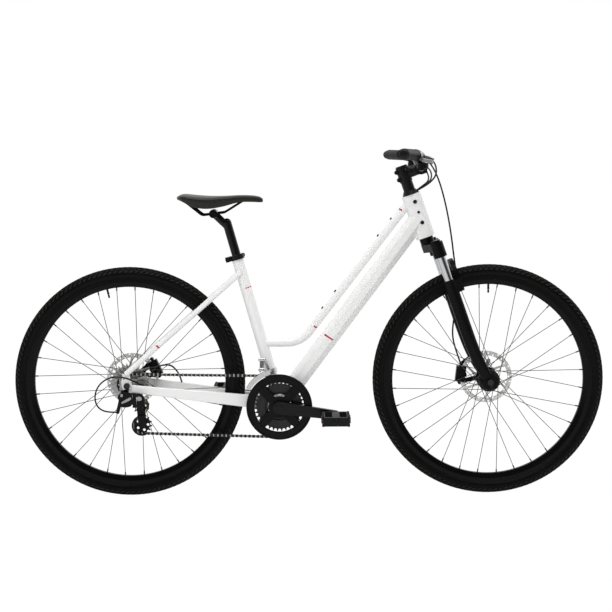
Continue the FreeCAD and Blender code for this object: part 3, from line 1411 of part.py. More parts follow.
def caliper(axle, rotor_y, angle):
    """Brake caliper that straddles the rotor's edge, with its pads and a piston cap."""
    reach = ROTOR_RADIUS - CALIPER_BITE
    half = CALIPER_HALF_WIDTH
    inner = CALIPER_INNER_HALF
    length = CALIPER_LENGTH / 2
    block = Part.makeBox(CALIPER_DEPTH, half + inner, length * 2, V(reach, rotor_y - inner, -length))
    slot_depth = CALIPER_BITE + CALIPER_SLOT_ROOM
    slot_half = CALIPER_SLOT_HALF_WIDTH
    slot = Part.makeBox(
        slot_depth + OVERRUN, slot_half * 2, length * 2 + OVERRUN * 2,
        V(reach - OVERRUN, rotor_y - slot_half, -length - OVERRUN),
    )
    lugs = []
    for turn in (-1, 1):
        foot = polar(CALIPER_FOOT_RADIUS_FROM_AXLE, turn * CALIPER_FOOT_ANGLE)
        lugs.append(cross_rod(foot, CALIPER_LUG_RADIUS, rotor_y + slot_half, rotor_y + half))
    cap_at = V(reach + CALIPER_BITE / 2, 0, 0)
    cap = cross_rod(cap_at, CALIPER_PISTON_RADIUS, rotor_y - inner - CALIPER_CAP_HEIGHT, rotor_y - inner)
    edges = [edge for edge in block.Edges if edge.Length > CALIPER_LENGTH - OVERRUN]
    body = joined(block.makeFillet(CALIPER_FILLET, edges), *lugs, cap).cut(slot)
    pads = []
    for side in (-1, 1):
        pad_face = ROTOR_THICKNESS / 2 + CLEAR
        pads.append(
            Part.makeBox(
                CALIPER_BITE - CLEAR, slot_half - pad_face, CALIPER_LENGTH * PAD_LENGTH_SHARE,
                V(
                    reach + CLEAR, rotor_y + (pad_face if side > 0 else -slot_half),
                    -CALIPER_LENGTH * PAD_LENGTH_SHARE / 2,
                ),
            )
        )
    place = FreeCAD.Placement(axle, FreeCAD.Rotation(LEFT, -angle))
    moved = []
    for solid in [body] + pads:
        copy = solid.copy()
        copy.Placement = place
        moved.append(copy)
    return moved


def front_caliper():
    """Front brake, turned with the fork."""
    axle = V(FORK_OFFSET, 0, 0)
    return [steered(solid) for solid in caliper(axle, FRONT_ROTOR_Y, FRONT_CALIPER_ANGLE)]


def fork_wipers():
    """Rubber seals on top of the lower legs."""
    outer = STANCHION_RADIUS + WIPER_WALL
    inner = STANCHION_RADIUS + RUN_FIT
    return [
        steered(
            pipe_between(leg_point(side, LOWER_TOP), leg_point(side, LOWER_TOP + WIPER_HEIGHT), outer, inner)
        )
        for side in (-1, 1)
    ]


def quick_axle(axle, span, plate, left_gap, right_gap):
    """Axle with lock nuts inside the ends, a skewer nut on the right and a cam housing on the left."""
    left_face, right_face = span + plate, -span - plate
    return joined(
        cross_rod(axle, AXLE_RADIUS, right_face - SKEWER_NUT_HEIGHT, left_face + CAM_HOUSING_HEIGHT),
        cross_rod(axle, LOCK_NUT_RADIUS, span - left_gap + CLEAR, span),
        cross_rod(axle, LOCK_NUT_RADIUS, -span, -span + right_gap - CLEAR),
        cross_rod(axle, SKEWER_NUT_RADIUS, right_face - SKEWER_NUT_HEIGHT, right_face),
        cross_rod(axle, SKEWER_NUT_RADIUS, left_face, left_face + CAM_HOUSING_HEIGHT),
    )


def cam_lever(pivot, along, across):
    """Flat lever on a round pivot, pointing along one way and turning about another."""
    half = CAM_LEVER_THICKNESS / 2
    width = CAM_LEVER_WIDTH
    barrel = Part.makeCylinder(half, width, V(-width / 2, 0, 0), V(1, 0, 0))
    blade = Part.makeBox(width, CAM_LEVER_THICKNESS, CAM_LEVER_LENGTH, V(-width / 2, -half, 0))
    tip = [edge for edge in blade.Edges if edge.BoundBox.ZMin > 0 and edge.BoundBox.XLength < half]
    lever = joined(barrel, blade.makeFillet(width * CAM_TIP_SHARE, tip))
    thick = along.cross(across)
    lever.Placement = FreeCAD.Placement(pivot, FreeCAD.Rotation(across, thick, along, "ZXY"))
    return lever


def axle_lever_pivot(axle, span, plate):
    """Pivot of a quick release lever, just outside its cam housing."""
    return axle + V(0, span + plate + CAM_HOUSING_HEIGHT + CAM_LEVER_THICKNESS / 2 + CLEAR, 0)


def build_fork():
    """Suspension fork with its axle and brake."""
    save("fork_crown", fork_crown())
    save("stanchions", *[stanchion(side) for side in (-1, 1)])
    save("fork_lowers", fork_lowers(), *fork_wipers())
    save("front_brake_caliper", *front_caliper())
    save("front_axle", quick_axle(FRONT_AXLE, FRONT_SPAN, FORK_END_THICKNESS, HUB_END_GAP, HUB_END_GAP))
    pivot = axle_lever_pivot(FRONT_AXLE, FRONT_SPAN, FORK_END_THICKNESS)
    save("front_axle_lever", cam_lever(pivot, polar(1, FRONT_LEVER_ANGLE), polar(1, FRONT_LEVER_ANGLE - 90)))
    save("rear_axle", quick_axle(REAR_AXLE, REAR_SPAN, DROPOUT_THICKNESS, HUB_END_GAP, HUB_END_GAP))
    pivot = axle_lever_pivot(REAR_AXLE, REAR_SPAN, DROPOUT_THICKNESS)
    save("rear_axle_lever", cam_lever(pivot, polar(1, REAR_LEVER_ANGLE), polar(1, REAR_LEVER_ANGLE - 90)))


# Cockpit


def headset_cover():
    """Cone over the upper bearing and two spacers under the stem."""
    base = HEAD_TOP + CLEAR
    top_radius = SPACER_RADIUS + HEADSET_COVER_STEP
    cone = Part.makeCone(HEADSET_COVER_RADIUS, top_radius, COVER_TOP - base, V(0, 0, base))
    bore = Part.makeCylinder(STEERER_RADIUS, HEADSET_COVER_HEIGHT * 2, V(0, 0, base - OVERRUN))
    half = SPACER_HEIGHT / 2
    spacers = [
        steer_ring(SPACER_RADIUS, STEERER_RADIUS, COVER_TOP + index * half, COVER_TOP + (index + 1) * half)
        for index in range(2)
    ]
    cap = steered(Part.makeCylinder(SPACER_RADIUS, TOP_CAP_HEIGHT, V(0, 0, STEM_TOP)))
    cover = steered(cone.cut(bore)).cut(bar_cords())
    return [cover, cap] + spacers


def stem():
    """Stem with pinch bolts behind the steerer and a face plate that closes on the bar."""
    mid = STEM_MID + STEM_RISE
    clamp = Part.makeCylinder(STEM_CLAMP_RADIUS, STEM_CLAMP_HEIGHT, V(0, 0, SPACER_TOP))
    bar_outer = BAR_BULGE_RADIUS + BAR_CLAMP_WALL
    bar_at = V(STEM_REACH, 0, mid)
    head = cross_rod(bar_at, bar_outer, -BAR_CLAMP_HALF, BAR_CLAMP_HALF)
    arm_root = V(0, 0, STEM_MID)
    arm = rod(arm_root, bar_at, STEM_ARM_HEIGHT / 2)
    bosses, bolts = [], []
    for turn in (-1, 1):
        at = V(-STEM_CLAMP_RADIUS, 0, STEM_MID + turn * STEM_PINCH_SPACING / 2)
        bosses.append(cross_rod(at, STEM_PINCH_RADIUS, -STEM_PINCH_HALF, STEM_PINCH_HALF))
        bolts.append(
            cross_rod(at, STEM_BOLT_RADIUS, -STEM_PINCH_HALF - STEM_BOLT_HEIGHT, -STEM_PINCH_HALF)
        )
    bore = Part.makeCylinder(STEERER_RADIUS, STEM_TOP, V(0, 0, 0))
    bar_bore = cross_rod(bar_at, BAR_BULGE_RADIUS, -BAR_HALF_WIDTH, BAR_HALF_WIDTH)
    front = Part.makeBox(
        bar_outer + OVERRUN, BAR_CLAMP_HALF * 2 + OVERRUN, bar_outer * 2 + OVERRUN,
        V(STEM_REACH, -BAR_CLAMP_HALF - OVERRUN / 2, mid - bar_outer - OVERRUN / 2),
    )
    body = joined(clamp, arm, head, *bosses)
    plate = head.common(front).cut(bar_bore).translated(V(FACE_PLATE_GAP, 0, 0)).cut(bar_bore)
    for spread_y in (-1, 1):
        for spread_z in (-1, 1):
            at = V(
                STEM_REACH + BAR_BULGE_RADIUS, spread_y * (BAR_CLAMP_HALF - STEM_BOLT_RADIUS * 2),
                mid + spread_z * (BAR_BULGE_RADIUS + BAR_CLAMP_WALL / 2),
            )
            start = V(STEM_REACH + FACE_PLATE_GAP * 2, at.y, at.z)
            bolts.append(largest(rod(start, at + V(STEM_BOLT_HEIGHT, 0, 0), STEM_BOLT_RADIUS).cut(plate)))
    return [steered(solid) for solid in [body.cut([bore, bar_bore, front]), plate] + bolts]


def bar_route():
    """Centre line of the riser bar, from the right end to the left."""
    half = []
    for back, y, rise in (
        (0, BAR_CENTRE_HALF, 0),
        (BAR_SWEEP_START, BAR_RISE_Y, BAR_RISE_START),
        (BAR_SWEEP, BAR_HALF_WIDTH, BAR_RISE),
    ):
        half.append(BAR_CENTRE + V(-back, y, rise))
    mirrored = [V(point.x, -point.y, point.z) for point in reversed(half)]
    return mirrored + half


def handlebar():
    """Hollow riser bar with a thicker sleeve in the stem."""
    route = bar_route()
    outer = swept(route, BAR_RADIUS, BAR_BEND_RADIUS)
    sleeve_half = BAR_CLAMP_HALF + BAR_CLAMP_WALL
    sleeve = cross_rod(BAR_CENTRE, BAR_BULGE_RADIUS, -sleeve_half, sleeve_half)
    inner = swept(route, BAR_RADIUS - BAR_WALL, BAR_BEND_RADIUS)
    return joined(outer, sleeve).cut(inner)


def bar_frame():
    """Frame at the left end of the bar: X outward along it, Y behind it and Z above it."""
    route = bar_route()
    outward = (route[-1] - route[-2]).normalize()
    behind = V(-outward.y, outward.x, 0).normalize()
    return FreeCAD.Placement(route[-1], FreeCAD.Rotation(outward, behind, UP, "XYZ"))


def on_bar(shape):
    """Move a shape from the left bar end frame to the bike."""
    moved = shape.copy()
    moved.Placement = bar_frame().multiply(moved.Placement)
    return moved


def control_frame():
    """Bar end frame turned about the bar, so that the brake levers point ahead and down."""
    tilt = FreeCAD.Placement(ORIGIN, FreeCAD.Rotation(V(1, 0, 0), CONTROL_TILT))
    return bar_frame().multiply(tilt)


def tilted(shape):
    """Move a brake piece from the tilted bar end frame to the bike."""
    moved = shape.copy()
    moved.Placement = control_frame().multiply(moved.Placement)
    return moved


def pair(shape):
    """A left piece and its mirror image on the right."""
    return [shape, shape.mirror(ORIGIN, LEFT)]


def bar_sleeve(outer, from_end, to_end):
    """Ring on the bar between two distances from its end."""
    return pipe_between(V(-from_end, 0, 0), V(-to_end, 0, 0), outer, BAR_RADIUS)


def grip():
    """Rubber grip with a palm wing behind and a clamp ring at its inner end."""
    sleeve = Part.makeCylinder(GRIP_RADIUS, GRIP_LENGTH, V(-GRIP_LENGTH, 0, 0), V(1, 0, 0))
    outline = [
        V(-GRIP_LENGTH * length_share, GRIP_WING * reach_share, 0)
        for length_share, reach_share in GRIP_WING_SHARES
    ]
    wing = flat_face(outline).extrude(V(0, 0, GRIP_WING_THICKNESS))
    wing = wing.translated(V(0, 0, -GRIP_WING_THICKNESS / 2))
    wing = wing.makeFillet(GRIP_WING_THICKNESS * GRIP_EDGE_SHARE, wing.Edges)
    bore = Part.makeCylinder(BAR_RADIUS, GRIP_LENGTH + OVERRUN, V(-GRIP_LENGTH - OVERRUN, 0, 0), V(1, 0, 0))
    return on_bar(joined(sleeve, wing).cut(bore))


def brake_master():
    """Brake clamp with its cylinder ahead of the bar."""
    near = GRIP_LENGTH + MASTER_GAP
    ring = bar_sleeve(BAR_RADIUS + MASTER_WALL, near, near + MASTER_CLAMP_WIDTH)
    middle = near + MASTER_CLAMP_WIDTH / 2
    neck = rod(V(-middle, -BAR_RADIUS, 0), V(-middle, -MASTER_REACH, 0), MASTER_NECK_RADIUS)
    body = rod(
        V(-middle + MASTER_OUTBOARD, -MASTER_REACH, 0),
        V(-middle - MASTER_INBOARD, -MASTER_REACH, 0),
        MASTER_RADIUS,
    )
    fork_low, fork_high = -MASTER_RADIUS, MASTER_RADIUS
    ear = level_link(
        V(-middle + MASTER_OUTBOARD, -MASTER_REACH, 0), lever_pivot(), MASTER_RADIUS, LEVER_BOSS_RADIUS,
        fork_low, fork_high,
    )
    gap = LEVER_THICKNESS / 2 + CLEAR
    pivot = lever_pivot()
    room = LEVER_BOSS_RADIUS + CLEAR
    cut = Part.makeBox(
        LEVER_SLOT_LENGTH, LEVER_SLOT_LENGTH, gap * 2,
        V(pivot.x - room, pivot.y - LEVER_SLOT_LENGTH + room, -gap),
    )
    pin = Part.makeCylinder(LEVER_PIN_RADIUS, fork_high - fork_low, V(pivot.x, pivot.y, fork_low))
    solid = joined(ring, neck, body, ear).cut(cut)
    bore = Part.makeCylinder(BAR_RADIUS, near * 2, V(-near * 2, 0, 0), V(1, 0, 0))
    return tilted(joined(solid, pin).cut(bore))


def lever_pivot():
    """Brake lever pivot in the bar end frame."""
    middle = GRIP_LENGTH + MASTER_GAP + MASTER_CLAMP_WIDTH / 2
    return V(-middle + MASTER_OUTBOARD, -MASTER_REACH - LEVER_PIVOT_AHEAD, 0)


def brake_lever():
    """Two-finger lever that swings towards the grip."""
    pivot = lever_pivot()
    half = LEVER_THICKNESS / 2
    knee = pivot + V(LEVER_LENGTH * LEVER_KNEE_SHARE, -LEVER_BOW, 0)
    tip = pivot + V(LEVER_LENGTH, LEVER_BOW * LEVER_TIP_SHARE, 0)
    inner = level_link(pivot, knee, LEVER_BOSS_RADIUS, LEVER_BLADE_RADIUS, -half, half)
    outer = level_link(knee, tip, LEVER_BLADE_RADIUS, LEVER_BLADE_RADIUS, -half, half)
    foot = pivot - V(0, 0, half + OVERRUN)
    bore = Part.makeCylinder(LEVER_PIN_RADIUS + RUN_FIT, LEVER_THICKNESS + OVERRUN * 2, foot)
    return tilted(joined(inner, outer).cut(bore))


def shifter_centre():
    """Middle of the shifter pod in the bar end frame."""
    inboard = GRIP_LENGTH + MASTER_GAP + MASTER_CLAMP_WIDTH + SHIFTER_CLAMP_WIDTH
    return V(-inboard, -SHIFTER_AHEAD, -SHIFTER_BELOW)


def shifter():
    """Shifter pod under the bar, on its own clamp."""
    near = GRIP_LENGTH + MASTER_GAP + MASTER_CLAMP_WIDTH + CLEAR
    ring = bar_sleeve(BAR_RADIUS + MASTER_WALL, near, near + SHIFTER_CLAMP_WIDTH)
    centre = shifter_centre()
    pod = Part.makeCylinder(SHIFTER_RADIUS, SHIFTER_HEIGHT, centre)
    neck = rod(
        V(-near - SHIFTER_CLAMP_WIDTH / 2, 0, -BAR_RADIUS),
        centre + V(0, 0, SHIFTER_HEIGHT / 2),
        SHIFTER_NECK_RADIUS,
    )
    pin = Part.makeCylinder(
        PADDLE_PIN_RADIUS, PADDLE_THICKNESS + CLEAR * 2, centre - V(0, 0, PADDLE_THICKNESS + CLEAR * 2)
    )
    bore = Part.makeCylinder(BAR_RADIUS, near * 2, V(-near * 2, 0, 0), V(1, 0, 0))
    return on_bar(joined(ring, neck, pod, pin).cut(bore))


def shift_paddle():
    """Thumb paddle under the pod, pointing back at the grip."""
    centre = shifter_centre()
    top = centre.z - CLEAR
    tip = centre + V(PADDLE_LENGTH * PADDLE_OUT_SHARE, PADDLE_LENGTH, 0)
    blade = level_link(centre, tip, PADDLE_ROOT_RADIUS, PADDLE_TIP_RADIUS, top - PADDLE_THICKNESS, top)
    foot = V(centre.x, centre.y, top - PADDLE_THICKNESS - OVERRUN)
    bore = Part.makeCylinder(PADDLE_PIN_RADIUS + RUN_FIT, PADDLE_THICKNESS + OVERRUN * 2, foot)
    return on_bar(blade.cut(bore))


def build_cockpit():
    """Everything that turns with the fork above the head tube."""
    save("headset_cover", *headset_cover())
    save("stem", *stem())
    save("handlebar", handlebar())
    save("grips", *pair(grip()))
    save("bar_controls", *pair(brake_master()), *pair(shifter()))
    for name, shape in (("brake_lever", brake_lever()), ("shift_paddle", shift_paddle())):
        left, right = pair(shape)
        save(f"left_{name}", left)
        save(f"right_{name}", right)


# Chain and toothed wheels


def pitch_radius(teeth):
    """Radius of the circle through the chain's pins on a toothed wheel."""
    return CHAIN_PITCH / (2 * math.sin(math.pi / teeth))


def chain_wheels(tension):
    """Centre, teeth and turning sense of each wheel in the chain's order, clockwise seen from the right."""
    return [
        (BRACKET, RING_TEETH[0], 1),
        (tension, TENSION_TEETH, 1),
        (guide_centre(), GUIDE_TEETH, -1),
        (REAR_AXLE, SPROCKET_TEETH[SPROCKET_IN_USE], 1),
    ]


def guide_centre():
    """Side-view centre of the guide pulley, which the cage also turns about."""
    return REAR_AXLE + V(GUIDE_PULLEY_AHEAD, 0, -GUIDE_PULLEY_DROP)


def run_normal(first, second):
    """Angle of the normal of the straight run from one wheel to the next."""
    run = second[0] - first[0]
    offset = first[2] * pitch_radius(first[1]) - second[2] * pitch_radius(second[1])
    return math.atan2(run.z, run.x) + math.acos(offset / run.Length)


def chain_course(tension):
    """Arcs and straight runs of the chain, each with its length in links."""
    wheels = chain_wheels(tension)
    normals = [run_normal(wheel, wheels[(index + 1) % len(wheels)]) for index, wheel in enumerate(wheels)]
    course = []
    for index, (centre, teeth, sense) in enumerate(wheels):
        sweep = (sense * (normals[index - 1] - normals[index])) % (2 * math.pi)
        start = normals[index - 1] + (0 if sense > 0 else math.pi)
        course.append(("arc", sweep * teeth / (2 * math.pi), (centre, teeth, sense, start)))
        following = wheels[(index + 1) % len(wheels)]
        ends = []
        for hub, count, turn in (wheels[index], following):
            ends.append(polar(turn * pitch_radius(count), math.degrees(normals[index]), hub))
        course.append(("run", (ends[1] - ends[0]).Length / CHAIN_PITCH, ends))
    return course


def tension_centre(cage_angle):
    """Side-view centre of the tension pulley at one angle of the cage."""
    return polar(CAGE_LENGTH, cage_angle, guide_centre())


def link_total(cage_angle):
    """Length of the chain in links at one angle of the cage."""
    return sum(piece[1] for piece in chain_course(tension_centre(cage_angle)))


def solve_cage_angle():
    """Cage angle near the nominal one at which the chain closes on a whole, even number of links."""
    target = 2 * round(link_total(CAGE_NOMINAL_ANGLE) / 2)
    angle, step = CAGE_NOMINAL_ANGLE, CAGE_SEARCH_STEP
    for turn in range(CAGE_SEARCH_TURNS):
        miss = link_total(angle) - target
        slope = (link_total(angle + step) - link_total(angle)) / step
        angle -= miss / slope
    return angle


def chain_pins(cage_angle):
    """Side-view centre of each chain pin, in order."""
    pins = []
    walked = 0.0
    for kind, count, data in chain_course(tension_centre(cage_angle)):
        while len(pins) < walked + count - CAGE_SEARCH_STEP * CAGE_SEARCH_STEP:
            along = len(pins) - walked
            if kind == "arc":
                centre, teeth, sense, start = data
                angle = math.degrees(start) - sense * along * 360 / teeth
                pins.append(polar(pitch_radius(teeth), angle, centre))
            else:
                pins.append(data[0] + (data[1] - data[0]) * (along / count))
        walked += count
    return pins


def gap_angle(wheel_index, cage_angle):
    """Angle of one tooth gap of a wheel that the chain lies on, so that the pins sit in the gaps."""
    course = chain_course(tension_centre(cage_angle))
    before = sum(piece[1] for piece in course[: wheel_index * 2])
    centre, teeth, sense, start = course[wheel_index * 2][2]
    return math.degrees(start) - sense * (math.ceil(before) - before) * 360 / teeth


def toothed_wheel(centre, teeth, first_gap, y, thickness, bore):
    """Sprocket, ring or pulley: a round seat for each chain roller, between blunt teeth."""
    radius = pitch_radius(teeth)
    seat = ROLLER_RADIUS + TOOTH_SEAT_GAP
    tip_radius = radius + TOOTH_HEIGHT
    tip_half = math.degrees(TOOTH_TIP_HALF / tip_radius)
    low = V(0, y - thickness / 2, 0)
    edges = []
    step = 360 / teeth
    for index in range(teeth):
        angle = first_gap + index * step
        hub = polar(radius, angle, centre) + low
        foot_in = polar(seat, angle + 180 + TOOTH_SEAT_ANGLE, hub)
        bottom = polar(seat, angle + 180, hub)
        foot_out = polar(seat, angle + 180 - TOOTH_SEAT_ANGLE, hub)
        tip_in = polar(tip_radius, angle + step / 2 - tip_half, centre) + low
        tip_out = polar(tip_radius, angle + step / 2 + tip_half, centre) + low
        following = polar(radius, angle + step, centre) + low
        next_foot = polar(seat, angle + step + 180 + TOOTH_SEAT_ANGLE, following)
        edges.append(Part.Arc(foot_in, bottom, foot_out).toShape())
        edges.append(Part.LineSegment(foot_out, tip_in).toShape())
        edges.append(Part.LineSegment(tip_in, tip_out).toShape())
        edges.append(Part.LineSegment(tip_out, next_foot).toShape())
    outline = Part.Wire(edges)
    hole = Part.Wire(Part.Circle(centre + low, LEFT, bore).toShape())
    return Part.Face([outline, hole]).extrude(V(0, thickness, 0))


def link_outline():
    """Waisted outline of a chain plate, from pin to pin."""
    middle = CHAIN_PITCH / 2
    far = CHAIN_PITCH + LINK_RADIUS
    course = [
        (0, LINK_RADIUS), (middle, LINK_WAIST), (CHAIN_PITCH, LINK_RADIUS), (far, 0),
        (CHAIN_PITCH, -LINK_RADIUS), (middle, -LINK_WAIST), (0, -LINK_RADIUS), (-LINK_RADIUS, 0),
    ]
    points = [V(x, 0, z) for x, z in course]
    points.append(points[0])
    return Part.Wire([Part.Arc(*points[index : index + 3]).toShape() for index in range(0, len(course), 2)])


def link_plate(y_from, y_to):
    """One chain plate between two depths."""
    face = Part.Face(link_outline())
    return face.extrude(V(0, y_to - y_from, 0)).translated(V(0, y_from, 0))


def inner_link():
    """Two inner plates on hollow rollers."""
    outer = LINK_INNER_HALF + LINK_PLATE
    plates = [link_plate(LINK_INNER_HALF, outer), link_plate(-outer, -LINK_INNER_HALF)]
    rollers, bores = [], []
    for x in (0, CHAIN_PITCH):
        rollers.append(cross_rod(V(x, 0, 0), ROLLER_RADIUS, -LINK_INNER_HALF, LINK_INNER_HALF))
        bores.append(cross_rod(V(x, 0, 0), ROLLER_BORE, -outer - OVERRUN, outer + OVERRUN))
    return joined(*plates, *rollers).cut(bores)


def outer_link():
    """Two outer plates riveted on their pins."""
    inner = LINK_INNER_HALF + LINK_PLATE + LINK_PLATE_GAP
    outer = inner + LINK_PLATE
    plates = [link_plate(inner, outer), link_plate(-outer, -inner)]
    pins = [cross_rod(V(x, 0, 0), PIN_RADIUS, -outer, outer) for x in (0, CHAIN_PITCH)]
    return joined(*plates, *pins)


def chain(cage_angle):
    """Every link of the chain, laid round the ring, pulleys and sprocket."""
    pins = chain_pins(cage_angle)
    patterns = (inner_link(), outer_link())
    links = []
    for index, start in enumerate(pins):
        run = pins[(index + 1) % len(pins)] - start
        heading = math.degrees(math.atan2(run.z, run.x))
        link = patterns[index % 2].copy()
        link.Placement = FreeCAD.Placement(start + V(0, CHAIN_Y, 0), FreeCAD.Rotation(LEFT, -heading))
        links.append(link)
    print(f"chain: {len(links)} links, cage angle {cage_angle:.2f} degrees")
    return links


def cassette(cage_angle):
    """Sprockets on the freehub body, small ones outside, with their lock ring."""
    pieces = []
    used = gap_angle(3, cage_angle)
    for index, teeth in enumerate(SPROCKET_TEETH):
        y = CHAIN_Y + (index - SPROCKET_IN_USE) * SPROCKET_PITCH
        first = used if index == SPROCKET_IN_USE else 0
        pieces.append(toothed_wheel(REAR_AXLE, teeth, first, y, SPROCKET_THICKNESS, FREEHUB_RADIUS))
    inner = CHAIN_Y + (len(SPROCKET_TEETH) - SPROCKET_IN_USE - 1) * SPROCKET_PITCH + SPROCKET_PITCH / 2
    outer = CHAIN_Y - SPROCKET_IN_USE * SPROCKET_PITCH - SPROCKET_PITCH / 2
    bore = AXLE_RADIUS + RUN_FIT
    pieces.append(cross_ring(REAR_AXLE, FREEHUB_RADIUS, bore, outer, inner))
    end = -REAR_SPAN + HUB_END_GAP
    pieces.append(cross_ring(REAR_AXLE, FREEHUB_RADIUS - LOCK_RING_STEP, bore, end, outer))
    return pieces


def chainrings(cage_angle):
    """Three rings: the large one on tabs, the middle and small ones as plain bands."""
    large = toothed_wheel(
        BRACKET, RING_TEETH[0], gap_angle(0, cage_angle), CHAIN_Y, RING_THICKNESS,
        pitch_radius(RING_TEETH[0]) - RING_BAND - TOOTH_HEIGHT,
    )
    half = RING_THICKNESS / 2
    tabs = []
    for index in range(SPIDER_COUNT):
        angle = CRANK_ANGLE + SPIDER_PHASE + index * 360 / SPIDER_COUNT
        inner = polar(RING_BOLT_CIRCLE, angle, BRACKET)
        outer = polar(pitch_radius(RING_TEETH[0]) - RING_BAND - TOOTH_HEIGHT, angle, BRACKET)
        tabs.append(bar_plate(inner, outer, RING_TAB_RADIUS, RING_TAB_RADIUS, CHAIN_Y - half, CHAIN_Y + half))
    rings = [joined(large, *tabs)]
    for index, bore in ((1, RING_BOLT_CIRCLE - RING_TAB_RADIUS), (2, SMALL_RING_BORE)):
        y = CHAIN_Y + index * RING_PITCH
        rings.append(toothed_wheel(BRACKET, RING_TEETH[index], 0, y, RING_THICKNESS, bore))
    return rings


# Crankset


def pedal_point(side):
    """Side-view centre of one pedal axle, ahead on the right and behind on the left."""
    return polar(CRANK_LENGTH, CRANK_ANGLE + (180 if side > 0 else 0), BRACKET)


def spider():
    """Four arms between the large and middle rings, with posts for the small ring."""
    outer = CHAIN_Y + RING_THICKNESS / 2
    inner = CHAIN_Y + RING_PITCH - RING_THICKNESS / 2
    small = CHAIN_Y + 2 * RING_PITCH - RING_THICKNESS / 2
    arms = []
    for index in range(SPIDER_COUNT):
        angle = CRANK_ANGLE + SPIDER_PHASE + index * 360 / SPIDER_COUNT
        tip = polar(RING_BOLT_CIRCLE, angle, BRACKET)
        arms.append(bar_plate(BRACKET, tip, SPIDER_ARM_WIDTH / 2, RING_TAB_RADIUS, outer, inner))
        post = polar(SMALL_RING_BORE + SMALL_POST_RADIUS, angle, BRACKET)
        arms.append(cross_rod(post, SMALL_POST_RADIUS, inner, small))
    return arms


def crank_arm(side):
    """Crank arm with its boss on the spindle and a bored end for the pedal axle."""
    inner, outer = side * CRANK_ARM_Y, side * (CRANK_ARM_Y + CRANK_ARM_THICKNESS)
    arm = bar_plate(BRACKET, pedal_point(side), CRANK_BOSS_RADIUS, CRANK_TIP_RADIUS, inner, outer)
    boss_end = CHAIN_Y + RING_PITCH - RING_THICKNESS / 2 if side < 0 else CRANK_LEFT_BOSS_Y
    boss = cross_rod(BRACKET, CRANK_BOSS_RADIUS, boss_end, inner)
    body = joined(arm, boss, *(spider() if side < 0 else []))
    reach = CRANK_ARM_Y + CRANK_ARM_THICKNESS + OVERRUN
    holes = [
        cross_rod(BRACKET, SPINDLE_RADIUS, -reach, reach),
        cross_rod(pedal_point(side), PEDAL_AXLE_RADIUS, -reach, reach),
    ]
    return body.cut(holes)


def crank_set():
    """Both arms, the spindle between them, the dust caps and the pedal axles."""
    end = CRANK_ARM_Y + CRANK_ARM_THICKNESS
    spindle = cross_rod(BRACKET, SPINDLE_RADIUS, -end, end)
    pieces = [crank_arm(-1), crank_arm(1), spindle]
    for side in (-1, 1):
        face = side * end
        pieces.append(cross_rod(BRACKET, DUST_CAP_RADIUS, face, face + side * DUST_CAP_HEIGHT))
        pedal_end = side * (end + PEDAL_GAP + PEDAL_WIDTH - PEDAL_WALL)
        inner = side * CRANK_ARM_Y
        pieces.append(cross_rod(pedal_point(side), PEDAL_AXLE_RADIUS, inner, pedal_end))
    return pieces


def chain_guard():
    """Plastic guard outside the large ring, held on four posts, open between its arms."""
    outer = CHAIN_Y - GUARD_OFFSET
    face = outer - GUARD_THICKNESS
    band = cross_ring(BRACKET, GUARD_RADIUS, GUARD_RADIUS - GUARD_BAND, face, outer)
    hub = cross_rod(BRACKET, GUARD_HUB_RADIUS, face, outer)
    pieces = [hub]
    for index in range(SPIDER_COUNT):
        angle = CRANK_ANGLE + SPIDER_PHASE + index * 360 / SPIDER_COUNT
        tip = polar(GUARD_RADIUS - GUARD_BAND / 2, angle, BRACKET)
        pieces.append(bar_plate(BRACKET, tip, GUARD_ARM_WIDTH / 2, GUARD_BAND / 2, face, outer))
        seat = polar(RING_BOLT_CIRCLE, angle, BRACKET)
        pieces.append(cross_rod(seat, RING_BOLT_RADIUS, outer, CHAIN_Y - RING_THICKNESS / 2))
    bore = cross_rod(BRACKET, CRANK_BOSS_RADIUS, face - OVERRUN, outer + OVERRUN)
    return joined(band, *pieces).cut(bore)


def pedal(side):
    """Platform pedal: a frame round its axle barrel, with a reflector at each end."""
    centre = pedal_point(side)
    inner = side * (CRANK_ARM_Y + CRANK_ARM_THICKNESS + PEDAL_GAP)
    low_y = min(inner, inner + side * PEDAL_WIDTH)
    half_x, half_z = PEDAL_LENGTH / 2, PEDAL_THICKNESS / 2
    corner = V(centre.x - half_x, low_y, centre.z - half_z)
    block = Part.makeBox(PEDAL_LENGTH, PEDAL_WIDTH, PEDAL_THICKNESS, corner)
    upright = [edge for edge in block.Edges if edge.BoundBox.ZLength > PEDAL_THICKNESS / 2]
    block = block.makeFillet(PEDAL_CORNER, upright)
    window = half_x - PEDAL_WALL - PEDAL_BARREL_RADIUS
    cuts = []
    for end in (-1, 1):
        start = PEDAL_BARREL_RADIUS if end > 0 else -PEDAL_BARREL_RADIUS - window
        cuts.append(
            Part.makeBox(
                window, PEDAL_WIDTH - PEDAL_WALL * 2, PEDAL_THICKNESS + OVERRUN * 2,
                V(centre.x + start, low_y + PEDAL_WALL, centre.z - half_z - OVERRUN),
            )
        )
    far = inner + side * (PEDAL_WIDTH - PEDAL_WALL + CLEAR)
    cuts.append(cross_rod(centre, PEDAL_AXLE_RADIUS + RUN_FIT, inner - side * OVERRUN, far))
    body = block.cut(cuts)
    reflectors = []
    width, height = PEDAL_WIDTH * REFLECTOR_WIDTH_SHARE, PEDAL_THICKNESS * REFLECTOR_HEIGHT_SHARE
    for end in (-1, 1):
        x = centre.x + end * half_x - (0 if end > 0 else REFLECTOR_THICKNESS)
        foot = V(x, low_y + (PEDAL_WIDTH - width) / 2, centre.z - height / 2)
        reflectors.append(Part.makeBox(REFLECTOR_THICKNESS, width, height, foot))
    return [body] + reflectors


# Front derailleur


